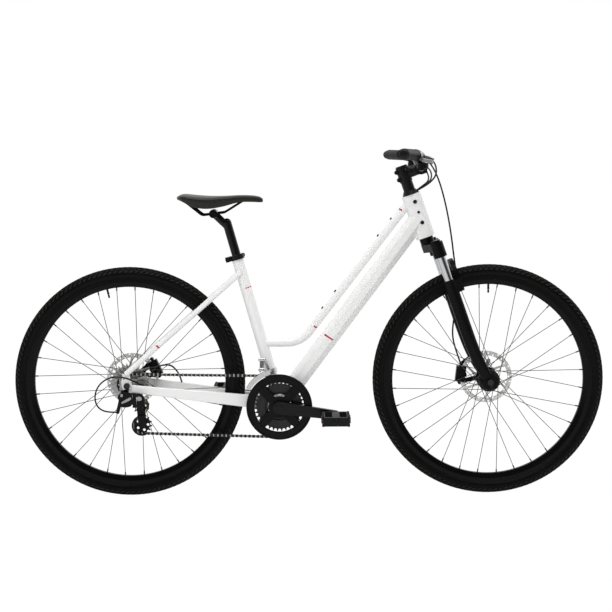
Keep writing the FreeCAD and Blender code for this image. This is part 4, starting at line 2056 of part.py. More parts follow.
def fd_upper_pivot():
    """Pivot that the front derailleur's link hangs from."""
    swing = FD_LINK_LENGTH * math.sin(math.radians(FD_REST_ANGLE))
    return V(BRACKET.x + FD_PIVOT_X, CHAIN_Y + swing, BRACKET.z + FD_PIVOT_Z)


def fd_lower_pivot():
    """Pivot that joins the link to the cage, at rest over the large ring."""
    drop = FD_LINK_LENGTH * math.cos(math.radians(FD_REST_ANGLE))
    upper = fd_upper_pivot()
    return V(upper.x, CHAIN_Y, upper.z - drop)


def fd_pin(point, radius, length):
    """Pin along X, centred on a pivot."""
    return rod(point - V(length / 2, 0, 0), point + V(length / 2, 0, 0), radius)


def front_derailleur_body():
    """Band on the seat tube with an arm that carries the link's upper pin."""
    band = pipe_between(
        BRACKET + SEAT_UP * (FD_BAND_HEIGHT - FD_BAND_TALL / 2),
        BRACKET + SEAT_UP * (FD_BAND_HEIGHT + FD_BAND_TALL / 2),
        SEAT_TUBE_RADIUS + FD_BAND_WALL, SEAT_TUBE_RADIUS,
    )
    pivot = fd_upper_pivot()
    ears = []
    for end in (-1, 1):
        near = pivot + V(end * (FD_LINK_WIDTH / 2 + CLEAR), 0, 0)
        ears.append(rod(near, near + V(end * FD_EAR, 0, 0), FD_PIN_RADIUS * 2))
    pin = fd_pin(pivot, FD_PIN_RADIUS, FD_LINK_WIDTH + (CLEAR + FD_EAR) * 2)
    root = BRACKET + SEAT_UP * FD_BAND_HEIGHT + V(0, -SEAT_TUBE_RADIUS - FD_BAND_WALL / 2, 0)
    ear_front = pivot + V(FD_LINK_WIDTH / 2 + CLEAR + FD_EAR / 2, 0, 0)
    ear_rear = pivot - V(FD_LINK_WIDTH / 2 + CLEAR + FD_EAR / 2, 0, 0)
    arm = rod(root, ear_front + V(0, FD_PIN_RADIUS, FD_PIN_RADIUS), FD_PIN_RADIUS * 2)
    inboard = V(0, FD_PIN_RADIUS * 2 + FD_EAR, 0)
    yoke = rod(ear_front + inboard, ear_rear + inboard, FD_PIN_RADIUS)
    ties = [rod(ear + inboard, ear, FD_PIN_RADIUS) for ear in (ear_front, ear_rear)]
    tube = seat_rod(SEAT_TUBE_RADIUS, 0, SEAT_TUBE_LENGTH)
    body = largest(joined(band, arm, yoke, *ears, *ties).cut([tube, fd_link_room(pivot)]))
    return joined(body, pin)


def fd_link_room(pivot):
    """Room for the link's round end between a pair of ears."""
    return fd_pin(pivot, FD_PIN_RADIUS * 2 + CLEAR, FD_LINK_WIDTH + CLEAR * 2)


def front_derailleur_link():
    """Link that hangs from the body and carries the cage."""
    upper, lower = fd_upper_pivot(), fd_lower_pivot()
    half = V(FD_LINK_WIDTH / 2, 0, 0)
    ends = [rod(point - half, point + half, FD_PIN_RADIUS * 2) for point in (upper, lower)]
    run = lower - upper
    side = V(0, -run.z, run.y).normalize() * FD_PIN_RADIUS
    corners = [upper + side, lower + side, lower - side, upper - side]
    web = flat_face([corner - half for corner in corners]).extrude(half * 2)
    bores = [fd_pin(point, FD_PIN_RADIUS + RUN_FIT, FD_LINK_WIDTH + OVERRUN * 2) for point in (upper, lower)]
    return joined(web, *ends).cut(bores)


def sector_plate(inner, outer, start, end, y_from, y_to):
    """Curved plate round the bracket between two radii and two angles."""
    middle = (start + end) / 2
    low = V(0, y_from, 0)
    corners = [polar(outer, start, BRACKET), polar(outer, middle, BRACKET), polar(outer, end, BRACKET)]
    inner_corners = [polar(inner, end, BRACKET), polar(inner, middle, BRACKET), polar(inner, start, BRACKET)]
    edges = [
        Part.Arc(*[corner + low for corner in corners]).toShape(),
        Part.LineSegment(corners[2] + low, inner_corners[0] + low).toShape(),
        Part.Arc(*[corner + low for corner in inner_corners]).toShape(),
        Part.LineSegment(inner_corners[2] + low, corners[0] + low).toShape(),
    ]
    return Part.Face(Part.Wire(edges)).extrude(V(0, y_to - y_from, 0))


def front_derailleur_cage():
    """Two curved plates astride the chain, joined over it and behind it."""
    outer_radius = FD_CAGE_INNER_RADIUS + FD_CAGE_HEIGHT
    pieces = []
    for side in (-1, 1):
        near = CHAIN_Y + side * FD_CAGE_HALF_WIDTH
        far = near + side * FD_PLATE
        pieces.append(sector_plate(FD_CAGE_INNER_RADIUS, outer_radius, FD_CAGE_START, FD_CAGE_END, near, far))
    reach = FD_CAGE_HALF_WIDTH + FD_PLATE
    roof_end = FD_CAGE_START + FD_ROOF_SPAN
    roof = sector_plate(
        outer_radius - FD_PLATE, outer_radius, FD_CAGE_START, roof_end, CHAIN_Y - reach, CHAIN_Y + reach
    )
    tail = polar(outer_radius - FD_PIN_RADIUS * 2, FD_CAGE_END - FD_TAIL_SPAN, BRACKET)
    pieces.append(roof)
    pieces.append(cross_rod(tail, FD_PIN_RADIUS, CHAIN_Y - reach, CHAIN_Y + reach))
    lower = fd_lower_pivot()
    bearing_angle = math.degrees(math.atan2(lower.z - BRACKET.z, lower.x - BRACKET.x))
    foot = polar(outer_radius - FD_PLATE / 2, bearing_angle, BRACKET) + V(0, CHAIN_Y, 0)
    for end in (-1, 1):
        near = end * (FD_LINK_WIDTH / 2 + CLEAR)
        ear = V(near + end * FD_EAR / 2, 0, 0)
        pieces.append(rod(lower + V(near, 0, 0), lower + V(near + end * FD_EAR, 0, 0), FD_PIN_RADIUS * 2))
        pieces.append(rod(lower + ear, foot + ear, FD_EAR / 2))
    pin = fd_pin(lower, FD_PIN_RADIUS, FD_LINK_WIDTH + (CLEAR + FD_EAR) * 2)
    return joined(joined(*pieces).cut(fd_link_room(lower)), pin)


# Rear derailleur, in a frame with X along its links, Y along its travel and Z along its pins


def rd_placement():
    """Frame at the outer link's pivot on the body."""
    along = polar(1, RD_LINK_ANGLE)
    travel = V(0, math.cos(math.radians(RD_SLANT)), -math.sin(math.radians(RD_SLANT)))
    pin = along.cross(travel).normalize()
    travel = pin.cross(along).normalize()
    knuckle = guide_centre() + V(RD_PIVOT_X, RD_PIVOT_Y, RD_PIVOT_Z)
    return FreeCAD.Placement(knuckle - along * RD_LINK_LENGTH, FreeCAD.Rotation(along, travel, pin, "XYZ"))


def on_links(shape):
    """Move a shape from the rear derailleur's link frame to the bike."""
    moved = shape.copy()
    moved.Placement = rd_placement().multiply(moved.Placement)
    return moved


def rd_link(offset):
    """One parallelogram link, bored for a pin at each end."""
    half = RD_LINK_HEIGHT / 2
    start, end = V(0, offset, 0), V(RD_LINK_LENGTH, offset, 0)
    body = level_link(start, end, RD_LINK_THICKNESS, RD_LINK_THICKNESS, -half, half)
    low = V(0, 0, -half - OVERRUN)
    bores = [
        Part.makeCylinder(RD_PIN_RADIUS + RUN_FIT, RD_LINK_HEIGHT + OVERRUN * 2, point + low)
        for point in (start, end)
    ]
    return on_links(body.cut(bores))


def rd_yoke(x, turn, open_inner):
    """Ears and pins that hold the two links at one end, on a web beyond them."""
    half = RD_LINK_HEIGHT / 2 + CLEAR
    outer = half + RD_EAR
    ear_radius = RD_LINK_THICKNESS
    pieces = []
    for low, high in ((-outer, -half), (half, outer)):
        pieces.append(level_link(V(x, 0, 0), V(x, RD_LINK_SPACING, 0), ear_radius, ear_radius, low, high))
        pieces.append(
            level_link(
                V(x + turn * RD_WEB_OFFSET, 0, 0), V(x + turn * RD_WEB_OFFSET, RD_LINK_SPACING, 0),
                ear_radius, ear_radius, low, high,
            )
        )
    near = RD_WEB_OFFSET - RD_EAR / 2
    web = Part.makeBox(
        RD_EAR, RD_LINK_SPACING + ear_radius * 2, outer * 2,
        V(x + (near if turn > 0 else -near - RD_EAR), -ear_radius, -outer),
    )
    pieces.append(web)
    for offset, radius in ((0, RD_PIN_RADIUS), (RD_LINK_SPACING, open_inner)):
        pieces.append(Part.makeCylinder(radius, outer * 2, V(x, offset, -outer)))
    return on_links(joined(*pieces))


def hanger_point():
    """Side-view centre of the bolt that holds the rear derailleur."""
    return REAR_AXLE + V(-HANGER_SETBACK, 0, -HANGER_DROP)


def rear_derailleur_body():
    """Hanger on the dropout, mounting knuckle, link yoke and the arm that stops the cable."""
    face = -REAR_SPAN - DROPOUT_THICKNESS
    root = REAR_AXLE + V(-HANGER_SETBACK * HANGER_ROOT_SHARE, 0, -HANGER_DROP * HANGER_ROOT_DROP_SHARE)
    hanger = bar_plate(root, hanger_point(), HANGER_RADIUS, HANGER_RADIUS, face - HANGER_THICKNESS, face)
    outer = face - HANGER_THICKNESS
    knuckle = cross_rod(hanger_point(), RD_KNUCKLE_RADIUS, outer - RD_KNUCKLE_WIDTH, outer)
    bolt = cross_rod(
        hanger_point(), RD_BOLT_RADIUS, outer - RD_KNUCKLE_WIDTH - RD_BOLT_HEIGHT, outer - RD_KNUCKLE_WIDTH
    )
    yoke = rd_yoke(0, -1, RD_PIN_RADIUS)
    web = on_links_point(V(-RD_WEB_OFFSET, RD_LINK_SPACING / 2, 0))
    tie = rod(hanger_point() + V(0, outer - RD_KNUCKLE_WIDTH / 2, 0), web, RD_TIE_RADIUS)
    stop = hanger_point() + V(-RD_STOP_BACK, 0, -RD_STOP_DROP)
    stop_y = outer - RD_KNUCKLE_WIDTH / 2
    half = RD_STOP_RADIUS / 2
    arm = bar_plate(hanger_point(), stop, RD_TIE_RADIUS, RD_STOP_RADIUS, stop_y - half, stop_y + half)
    return joined(hanger, knuckle, bolt, yoke, tie, arm)


def on_links_point(point):
    """Point of the link frame in the bike."""
    return rd_placement().multVec(point)


def rear_derailleur_knuckle():
    """Lower knuckle, which the links keep parallel and the cage turns in."""
    cage_outer = CHAIN_Y - CAGE_HALF_WIDTH - CAGE_PLATE - CLEAR
    end = cage_outer - RD_BARREL_LENGTH
    barrel = cross_rod(guide_centre(), RD_KNUCKLE_RADIUS, end, cage_outer)
    yoke = rd_yoke(RD_LINK_LENGTH, 1, RD_OPEN_PIN_RADIUS)
    web = on_links_point(V(RD_LINK_LENGTH + RD_WEB_OFFSET, RD_LINK_SPACING + RD_LINK_THICKNESS, 0))
    tie = rod(web, guide_centre() + V(0, (end + cage_outer) / 2, 0), RD_KNUCKLE_TIE_RADIUS)
    bore = cross_rod(guide_centre(), CAGE_SHAFT_RADIUS + RUN_FIT, end + RD_EAR, cage_outer + OVERRUN)
    return joined(barrel, yoke, tie).cut(bore)


def derailleur_cage(cage_angle):
    """Two plates with the pulley pins between them and the shaft it turns on."""
    guide, tension = guide_centre(), tension_centre(cage_angle)
    pieces = []
    for side in (-1, 1):
        near = CHAIN_Y + side * CAGE_HALF_WIDTH
        plate = bar_plate(guide, tension, CAGE_END_RADIUS, CAGE_END_RADIUS, near, near + side * CAGE_PLATE)
        pieces.append(plate)
    for point in (guide, tension):
        reach = CAGE_HALF_WIDTH + CAGE_PLATE
        pieces.append(cross_rod(point, PULLEY_BORE, CHAIN_Y - reach, CHAIN_Y + reach))
    outer = CHAIN_Y - CAGE_HALF_WIDTH - CAGE_PLATE
    pieces.append(cross_rod(guide, CAGE_SHAFT_RADIUS, outer - RD_BARREL_LENGTH + RD_EAR, outer))
    return joined(*pieces)


def pulley(index, teeth, centre, cage_angle):
    """Toothed pulley on its pin, with a hub that fills the cage."""
    wheel = toothed_wheel(
        centre, teeth, gap_angle(index, cage_angle), CHAIN_Y, PULLEY_THICKNESS, PULLEY_BORE + RUN_FIT
    )
    half = CAGE_HALF_WIDTH - CLEAR
    hub = cross_ring(centre, PULLEY_HUB_RADIUS, PULLEY_BORE + RUN_FIT, CHAIN_Y - half, CHAIN_Y + half)
    radius = pitch_radius(teeth)
    holes = []
    for hole in range(PULLEY_HOLE_COUNT):
        at = polar(radius * PULLEY_HOLE_SHARE, hole * 360 / PULLEY_HOLE_COUNT, centre)
        holes.append(cross_rod(at, radius * PULLEY_HOLE_RADIUS_SHARE, CHAIN_Y - half, CHAIN_Y + half))
    return joined(wheel, hub).cut(holes)


def rear_caliper():
    """Rear brake inside the rear triangle, on a plate between its lugs and the dropout."""
    solids = caliper(REAR_AXLE, REAR_ROTOR_Y, REAR_CALIPER_ANGLE)
    inner = REAR_ROTOR_Y + CALIPER_HALF_WIDTH
    upper = polar(CALIPER_FOOT_RADIUS_FROM_AXLE, REAR_CALIPER_ANGLE + CALIPER_FOOT_ANGLE, REAR_AXLE)
    lower = polar(CALIPER_FOOT_RADIUS_FROM_AXLE, REAR_CALIPER_ANGLE - CALIPER_FOOT_ANGLE, REAR_AXLE)
    root = REAR_AXLE + V(DROPOUT_LENGTH * DROPOUT_FRONT_SHARE + BRACKET_ARM_WIDTH, 0, BRACKET_ARM_WIDTH)
    arms = [
        bar_plate(root, foot, BRACKET_ARM_WIDTH, CALIPER_LUG_RADIUS, inner, inner + BRACKET_ARM_THICKNESS)
        for foot in (upper, lower)
    ]
    return solids + [largest(joined(*arms).cut(chainstay(1)))]


def build_drivetrain():
    """Crankset, chain, gears and the rear brake."""
    cage_angle = solve_cage_angle()
    save("chain", *chain(cage_angle))
    save("cassette", *cassette(cage_angle))
    save("chainrings", *chainrings(cage_angle))
    save("chain_guard", chain_guard())
    save("crank_arms", *crank_set())
    save("right_pedal", *pedal(-1))
    save("left_pedal", *pedal(1))
    save("front_derailleur_body", front_derailleur_body())
    save("front_derailleur_link", front_derailleur_link())
    save("front_derailleur_cage", front_derailleur_cage())
    save("rear_derailleur_body", rear_derailleur_body())
    save("derailleur_outer_link", rd_link(0))
    save("derailleur_inner_link", rd_link(RD_LINK_SPACING))
    save("derailleur_knuckle", rear_derailleur_knuckle())
    save("derailleur_cage", derailleur_cage(cage_angle))
    save("guide_pulley", pulley(2, GUIDE_TEETH, guide_centre(), cage_angle))
    save("tension_pulley", pulley(1, TENSION_TEETH, tension_centre(cage_angle), cage_angle))
    save("rear_brake_caliper", *rear_caliper())


# Cables and hoses, along points picked by hand


def frame_cord(points, radius, label):
    """Cable or hose fixed to the frame, with its least bend printed."""
    return swept([V(*point) for point in points], radius, None, label)


def gear_housing():
    """Rear gear cable, from the right chainstay round to its stop on the derailleur."""
    return frame_cord(GEAR_HOUSING_POINTS, CABLE_RADIUS, "rear gear cable")


def rear_hose():
    """Rear brake hose, from the caliper down into the left chainstay."""
    return frame_cord(REAR_HOSE_POINTS, HOSE_RADIUS, "rear brake hose")


def front_hose():
    """Front brake hose, from the left lever down inside the fork to the caliper."""
    return frame_cord(FRONT_HOSE_POINTS, HOSE_RADIUS, "front brake hose")


def bar_cords():
    """Two gear cables and the rear hose, from the bar into the headset cover."""
    right = [(x, -y, z) for x, y, z in LEFT_GEAR_POINTS]
    return [
        frame_cord(LEFT_GEAR_POINTS, CABLE_RADIUS, "left gear cable"),
        frame_cord(right, CABLE_RADIUS, "right gear cable"),
        frame_cord(RIGHT_HOSE_POINTS, HOSE_RADIUS, "right brake hose"),
    ]


def build_cables():
    """Outer cables and hoses."""
    save("frame_cables", gear_housing(), rear_hose())
    save("bar_cables", *bar_cords())
    save("front_brake_hose", front_hose())


def main():
    """Write every node of the bike."""
    os.makedirs("parts", exist_ok=True)
    build_wheels()
    build_frame()
    build_seat()
    build_fork()
    build_cockpit()
    build_drivetrain()
    build_cables()


main()
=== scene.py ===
import math

import bmesh
import bpy
from mathutils import Matrix, Vector


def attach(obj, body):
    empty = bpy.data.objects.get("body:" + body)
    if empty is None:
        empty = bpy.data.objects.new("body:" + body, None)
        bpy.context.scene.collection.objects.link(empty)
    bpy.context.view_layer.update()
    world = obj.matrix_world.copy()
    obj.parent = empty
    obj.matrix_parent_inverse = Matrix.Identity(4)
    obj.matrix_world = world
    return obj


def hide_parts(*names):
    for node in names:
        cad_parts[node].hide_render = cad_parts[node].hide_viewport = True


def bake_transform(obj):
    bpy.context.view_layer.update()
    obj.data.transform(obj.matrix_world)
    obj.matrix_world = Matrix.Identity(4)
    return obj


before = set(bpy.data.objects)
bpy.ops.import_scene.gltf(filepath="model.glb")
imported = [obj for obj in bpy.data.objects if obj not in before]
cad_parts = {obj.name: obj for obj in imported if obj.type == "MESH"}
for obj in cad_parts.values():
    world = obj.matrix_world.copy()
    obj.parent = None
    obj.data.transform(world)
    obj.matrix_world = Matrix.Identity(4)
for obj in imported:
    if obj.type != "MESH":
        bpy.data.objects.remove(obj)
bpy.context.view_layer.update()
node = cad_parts


# The studio: a pale sweep of paper under the bike, a white wall of light round it and three large soft boxes.
# The paper is nearly all its own white, so that the bike keeps only a faint shadow on it.
PAPER_WHITE = (0.9, 0.9, 0.9, 1)
PAPER_GLOW = 1.03
PAPER_GLOW_SHARE = 0.95
FLOOR_HALF = 9.0
FLOOR_DROP = 0.0006
ROOM_WHITE = (1, 1, 1, 1)
ROOM_LIGHT = 0.58
ROOM_FRONT, ROOM_BACK = -0.62, 0.3
FRONT_REFLECTION, BACK_REFLECTION = 0.05, 1.0


def studio_paper():
    paper = bpy.data.materials.new("studio_paper")
    paper.use_nodes = True
    tree = paper.node_tree
    tree.nodes.clear()
    out = tree.nodes.new("ShaderNodeOutputMaterial")
    mix = tree.nodes.new("ShaderNodeMixShader")
    glow = tree.nodes.new("ShaderNodeEmission")
    cloth = tree.nodes.new("ShaderNodeBsdfDiffuse")
    ray = tree.nodes.new("ShaderNodeLightPath")
    seen = tree.nodes.new("ShaderNodeMath")
    seen.operation = "MULTIPLY"
    seen.inputs[1].default_value = PAPER_GLOW_SHARE
    cloth.inputs["Color"].default_value = PAPER_WHITE
    glow.inputs["Strength"].default_value = PAPER_GLOW
    tree.links.new(ray.outputs["Is Camera Ray"], seen.inputs[0])
    tree.links.new(seen.outputs[0], mix.inputs["Fac"])
    tree.links.new(cloth.outputs[0], mix.inputs[1])
    tree.links.new(glow.outputs[0], mix.inputs[2])
    tree.links.new(mix.outputs[0], out.inputs["Surface"])
    return paper


sheet = bmesh.new()
bmesh.ops.create_grid(sheet, x_segments=2, y_segments=2, size=FLOOR_HALF)
floor_mesh = bpy.data.meshes.new("paper_floor")
sheet.to_mesh(floor_mesh)
sheet.free()
floor = bpy.data.objects.new("paper_floor", floor_mesh)
floor.location.z = -FLOOR_DROP
floor_mesh.materials.append(studio_paper())
bpy.context.scene.collection.objects.link(floor)

world = bpy.data.worlds.new("white_studio")
world.use_nodes = True
bpy.context.scene.world = world
tree = world.node_tree
tree.nodes.clear()
ray = tree.nodes.new("ShaderNodeLightPath")
either = tree.nodes.new("ShaderNodeMath")
either.operation = "MAXIMUM"
tree.links.new(ray.outputs["Is Glossy Ray"], either.inputs[0])
tree.links.new(ray.outputs["Is Transmission Ray"], either.inputs[1])
way = tree.nodes.new("ShaderNodeTexCoord")
parts = tree.nodes.new("ShaderNodeSeparateXYZ")
tree.links.new(way.outputs["Generated"], parts.inputs[0])
behind = tree.nodes.new("ShaderNodeMapRange")
behind.inputs["From Min"].default_value = ROOM_FRONT
behind.inputs["From Max"].default_value = ROOM_BACK
behind.inputs["To Min"].default_value = FRONT_REFLECTION
behind.inputs["To Max"].default_value = BACK_REFLECTION
tree.links.new(parts.outputs["Y"], behind.inputs["Value"])
dim = tree.nodes.new("ShaderNodeBackground")
dim.inputs["Strength"].default_value = ROOM_LIGHT
bright = tree.nodes.new("ShaderNodeBackground")
tree.links.new(behind.outputs[0], bright.inputs["Strength"])
white = tree.nodes.new("ShaderNodeBackground")
soft = tree.nodes.new("ShaderNodeMixShader")
shown = tree.nodes.new("ShaderNodeMixShader")
tree.links.new(either.outputs[0], soft.inputs["Fac"])
tree.links.new(dim.outputs[0], soft.inputs[1])
tree.links.new(bright.outputs[0], soft.inputs[2])
tree.links.new(ray.outputs["Is Camera Ray"], shown.inputs["Fac"])
tree.links.new(soft.outputs[0], shown.inputs[1])
tree.links.new(white.outputs[0], shown.inputs[2])
out = tree.nodes.new("ShaderNodeOutputWorld")
tree.links.new(shown.outputs[0], out.inputs["Surface"])
for light in (dim, bright, white):
    light.inputs["Color"].default_value = ROOM_WHITE

# Each box has its name, place, aim, size and watts.
SOFT_BOXES = (
    ("overhead_box", (0.2, -0.9, 3.6), (0.0, 0.0, 0.4), (3.2, 1.8), 52.0),
    ("camera_box", (-2.4, -3.4, 2.3), (0.0, 0.0, 0.5), (1.8, 1.8), 31.0),
    ("rim_box", (2.6, 2.6, 2.4), (0.0, 0.0, 0.6), (1.6, 1.6), 20.0),
)
for name, place, target, size, watts in SOFT_BOXES:
    lamp = bpy.data.lights.new(name, "AREA")
    lamp.shape = "RECTANGLE"
    lamp.size, lamp.size_y = size
    lamp.energy = watts
    box = bpy.data.objects.new(name, lamp)
    box.location = place
    box.visible_glossy = name != "camera_box"
    box.rotation_euler = (Vector(target) - Vector(place)).to_track_quat("-Z", "Y").to_euler()
    bpy.context.scene.collection.objects.link(box)

# The camera stands square to the right side of the bike, about at bar height, and looks a little down.
# A long lens keeps the two wheels nearly round, and the shift puts the tyres low in the frame.
CAMERA_PLACE = Vector((0.005, -3.855, 1.028))
CAMERA_AIM = Vector((-0.0054, 0.0, 0.7649))
CAMERA_LENS = 75.01
CAMERA_ROLL = -0.471
CAMERA_SHIFT = -0.1
eye = bpy.data.cameras.new("side_camera")
eye.lens = CAMERA_LENS
eye.shift_y = CAMERA_SHIFT
camera = bpy.data.objects.new("side_camera", eye)
camera.location = CAMERA_PLACE
turn = (CAMERA_AIM - CAMERA_PLACE).to_track_quat("-Z", "Y").to_matrix()
camera.rotation_euler = (turn @ Matrix.Rotation(math.radians(CAMERA_ROLL), 3, "Z")).to_euler()
bpy.context.scene.collection.objects.link(camera)
bpy.context.scene.camera = camera
bpy.context.scene.view_settings.view_transform = "Standard"


# Frame tubes: drawn aluminium, welded, filled smooth and sprayed gloss white under a clear lacquer.
# Short red dashes are masked and sprayed on the tubes before the lacquer goes on.
GRAIN_DETAIL, BROAD_DETAIL = 5.0, 3.0
BROAD_RATIO = 24
TONE_LOW, TONE_HIGH = 0.3, 0.7
GRAIN_DEPTH = 0.0006
LACQUER_ROUGHNESS = 0.06
EDGE_SAMPLES = 4


def shade(colour, share):
    """A colour made lighter or darker, with its alpha."""
    return tuple(min(1.0, max(0.0, part * share)) for part in colour) + (1.0,)


def box_mask(tree, place, centre, half, turn):
    """One inside a turned box, nought outside it."""
    local = tree.nodes.new("ShaderNodeMapping")
    local.vector_type = "TEXTURE"
    local.inputs["Location"].default_value = centre
    local.inputs["Rotation"].default_value = (0.0, math.radians(turn), 0.0)
    local.inputs["Scale"].default_value = half
    tree.links.new(place, local.inputs["Vector"])
    size = tree.nodes.new("ShaderNodeVectorMath")
    size.operation = "ABSOLUTE"
    tree.links.new(local.outputs[0], size.inputs[0])
    split = tree.nodes.new("ShaderNodeSeparateXYZ")
    tree.links.new(size.outputs[0], split.inputs[0])
    far = split.outputs["X"]
    for axis in ("Y", "Z"):
        most = tree.nodes.new("ShaderNodeMath")
        most.operation = "MAXIMUM"
        tree.links.new(far, most.inputs[0])
        tree.links.new(split.outputs[axis], most.inputs[1])
        far = most.outputs[0]
    inside = tree.nodes.new("ShaderNodeMath")
    inside.operation = "LESS_THAN"
    inside.inputs[1].default_value = 1.0
    tree.links.new(far, inside.inputs[0])
    return inside.outputs[0]


def laid_over(tree, mask, under, over, colour=False):
    """Lays one colour or number over another where the mask is one."""
    mix = tree.nodes.new("ShaderNodeMix")
    first, second, result = (6, 7, 2) if colour else (2, 3, 0)
    if colour:
        mix.data_type = "RGBA"
    mix.inputs[second].default_value = over
    tree.links.new(mask, mix.inputs[0])
    if isinstance(under, float):
        mix.inputs[first].default_value = under
    else:
        tree.links.new(under, mix.inputs[first])
    return mix.outputs[result]


def finish(name, colour, spread=0.12, rough=(0.3, 0.42), metal=0.0, grain=420.0, bump=0.05,
           stretch=(1, 1, 1), coat=0.0, gloss=0.5, edge=0.0005, patches=()):
    """A finish with mottled colour, uneven polish, fine grain, softened edges and painted patches."""
    made = bpy.data.materials.new(name)
    made.use_nodes = True
    tree = made.node_tree
    shader = tree.nodes["Principled BSDF"]
    place = tree.nodes.new("ShaderNodeTexCoord").outputs["Object"]
    drawn = tree.nodes.new("ShaderNodeMapping")
    drawn.inputs["Scale"].default_value = stretch
    tree.links.new(place, drawn.inputs["Vector"])
    fine = tree.nodes.new("ShaderNodeTexNoise")
    fine.inputs["Scale"].default_value = grain
    fine.inputs["Detail"].default_value = GRAIN_DETAIL
    tree.links.new(drawn.outputs[0], fine.inputs["Vector"])
    broad = tree.nodes.new("ShaderNodeTexNoise")
    broad.inputs["Scale"].default_value = grain / BROAD_RATIO
    broad.inputs["Detail"].default_value = BROAD_DETAIL
    tree.links.new(place, broad.inputs["Vector"])
    both = tree.nodes.new("ShaderNodeMath")
    both.operation = "MULTIPLY_ADD"
    both.inputs[1].default_value = 0.5
    tree.links.new(fine.outputs["Fac"], both.inputs[0])
    halved = tree.nodes.new("ShaderNodeMath")
    halved.operation = "MULTIPLY"
    halved.inputs[1].default_value = 0.5
    tree.links.new(broad.outputs["Fac"], halved.inputs[0])
    tree.links.new(halved.outputs[0], both.inputs[2])
    tone = tree.nodes.new("ShaderNodeValToRGB")
    tone.color_ramp.elements[0].position = TONE_LOW
    tone.color_ramp.elements[1].position = TONE_HIGH
    tone.color_ramp.elements[0].color = shade(colour, 1 - spread)
    tone.color_ramp.elements[1].color = shade(colour, 1 + spread)
    tree.links.new(both.outputs[0], tone.inputs[0])
    polish = tree.nodes.new("ShaderNodeMapRange")
    polish.inputs["From Min"].default_value = TONE_LOW
    polish.inputs["From Max"].default_value = TONE_HIGH
    polish.inputs["To Min"].default_value = rough[0]
    polish.inputs["To Max"].default_value = rough[1]
    tree.links.new(both.outputs[0], polish.inputs["Value"])
    colour_out, rough_out, metal_out = tone.outputs[0], polish.outputs[0], metal
    for centre, half, turn, patch_colour, patch_rough, patch_metal in patches:
        mask = box_mask(tree, place, centre, half, turn)
        colour_out = laid_over(tree, mask, colour_out, shade(patch_colour, 1.0), colour=True)
        rough_out = laid_over(tree, mask, rough_out, patch_rough)
        if patch_metal != metal:
            metal_out = laid_over(tree, mask, metal_out, patch_metal)
    tree.links.new(colour_out, shader.inputs["Base Color"])
    tree.links.new(rough_out, shader.inputs["Roughness"])
    shader.inputs["Metallic"].default_value = metal
    if not isinstance(metal_out, float):
        tree.links.new(metal_out, shader.inputs["Metallic"])
    shader.inputs["Specular IOR Level"].default_value = gloss
    shader.inputs["Coat Weight"].default_value = coat
    shader.inputs["Coat Roughness"].default_value = LACQUER_ROUGHNESS
    relief = tree.nodes.new("ShaderNodeBump")
    relief.inputs["Strength"].default_value = bump
    relief.inputs["Distance"].default_value = GRAIN_DEPTH
    tree.links.new(fine.outputs["Fac"], relief.inputs["Height"])
    if edge:
        soft_edge = tree.nodes.new("ShaderNodeBevel")
        soft_edge.samples = EDGE_SAMPLES
        soft_edge.inputs["Radius"].default_value = edge
        tree.links.new(soft_edge.outputs[0], relief.inputs["Normal"])
    tree.links.new(relief.outputs[0], shader.inputs["Normal"])
    return made


def dress(made, *names):
    """Gives a finish to solids of the model."""
    for name in names:
        node[name].material_slots[0].material = made


DASH_RED = (0.5, 0.003, 0.014)
DASH_ROUGHNESS = 0.3
# Each dash has its centre, half size and turn in degrees.
DASHES = (
    ((0.2791, 0.0, 0.8707), (0.0072, 0.06, 0.0027), 33.0),
    ((0.0210, 0.0, 0.5156), (0.0056, 0.06, 0.0027), 38.0),
    ((0.0613, 0.0, 0.4853), (0.0157, 0.06, 0.0025), 33.5),
    ((-0.1872, 0.0, 0.6366), (0.0024, 0.06, 0.0018), -17.5),
    ((-0.1810, 0.0, 0.6385), (0.0024, 0.06, 0.0018), -17.5),
    ((-0.1748, 0.0, 0.6405), (0.0024, 0.06, 0.0018), -17.5),
    ((-0.4519, 0.0, 0.4664), (0.0062, 0.09, 0.0025), 43.0),
)
white_enamel = finish(
    "white_enamel", (0.91, 0.91, 0.905), 0.008, (0.22, 0.27), grain=900.0, bump=0.001, coat=0.7, edge=0,
    patches=[(*dash, DASH_RED, DASH_ROUGHNESS, 0.0) for dash in DASHES],
)
dress(white_enamel, "head_tube", "top_tube", "down_tube", "seat_tube", "rear_stays")

# Frame fittings: moulded cable plugs and bottle bolts, the turned bearing cups and the clamp round the seat tube.
# The clamp is forged aluminium, anodised black, and the bolts are blackened steel.
black_anodised = finish("black_anodised", (0.006, 0.006, 0.0063), 0.25, (0.3, 0.42), grain=700.0, gloss=0.2)
black_bolt = finish("black_bolt", (0.009, 0.009, 0.0095), 0.25, (0.32, 0.45), grain=800.0, gloss=0.25)
bright_steel = finish("bright_steel", (0.58, 0.58, 0.59), 0.1, (0.22, 0.34), metal=1.0, grain=500.0)
dress(black_bolt, "frame_fasteners")
dress(bright_steel, "frame_bearings")
dress(black_anodised, "seat_collar", "seat_collar_lever")

# Suspension fork: a forged crown and cast magnesium lower legs in satin black paint.
# The lower legs slide on two hard chromed steel tubes and are sealed by rubber wipers.
satin_black = finish(
    "satin_black", (0.003, 0.003, 0.0031), 0.22, (0.26, 0.36), grain=520.0, bump=0.04, gloss=0.11, edge=0.0009,
)
hard_chrome = finish(
    "hard_chrome", (0.6, 0.61, 0.62), 0.03, (0.05, 0.1), metal=1.0, grain=600.0, bump=0.01, stretch=(1, 1, 0.05),
    edge=0,
)
dress(satin_black, "fork_crown", "fork_lowers")
dress(hard_chrome, "stanchions")

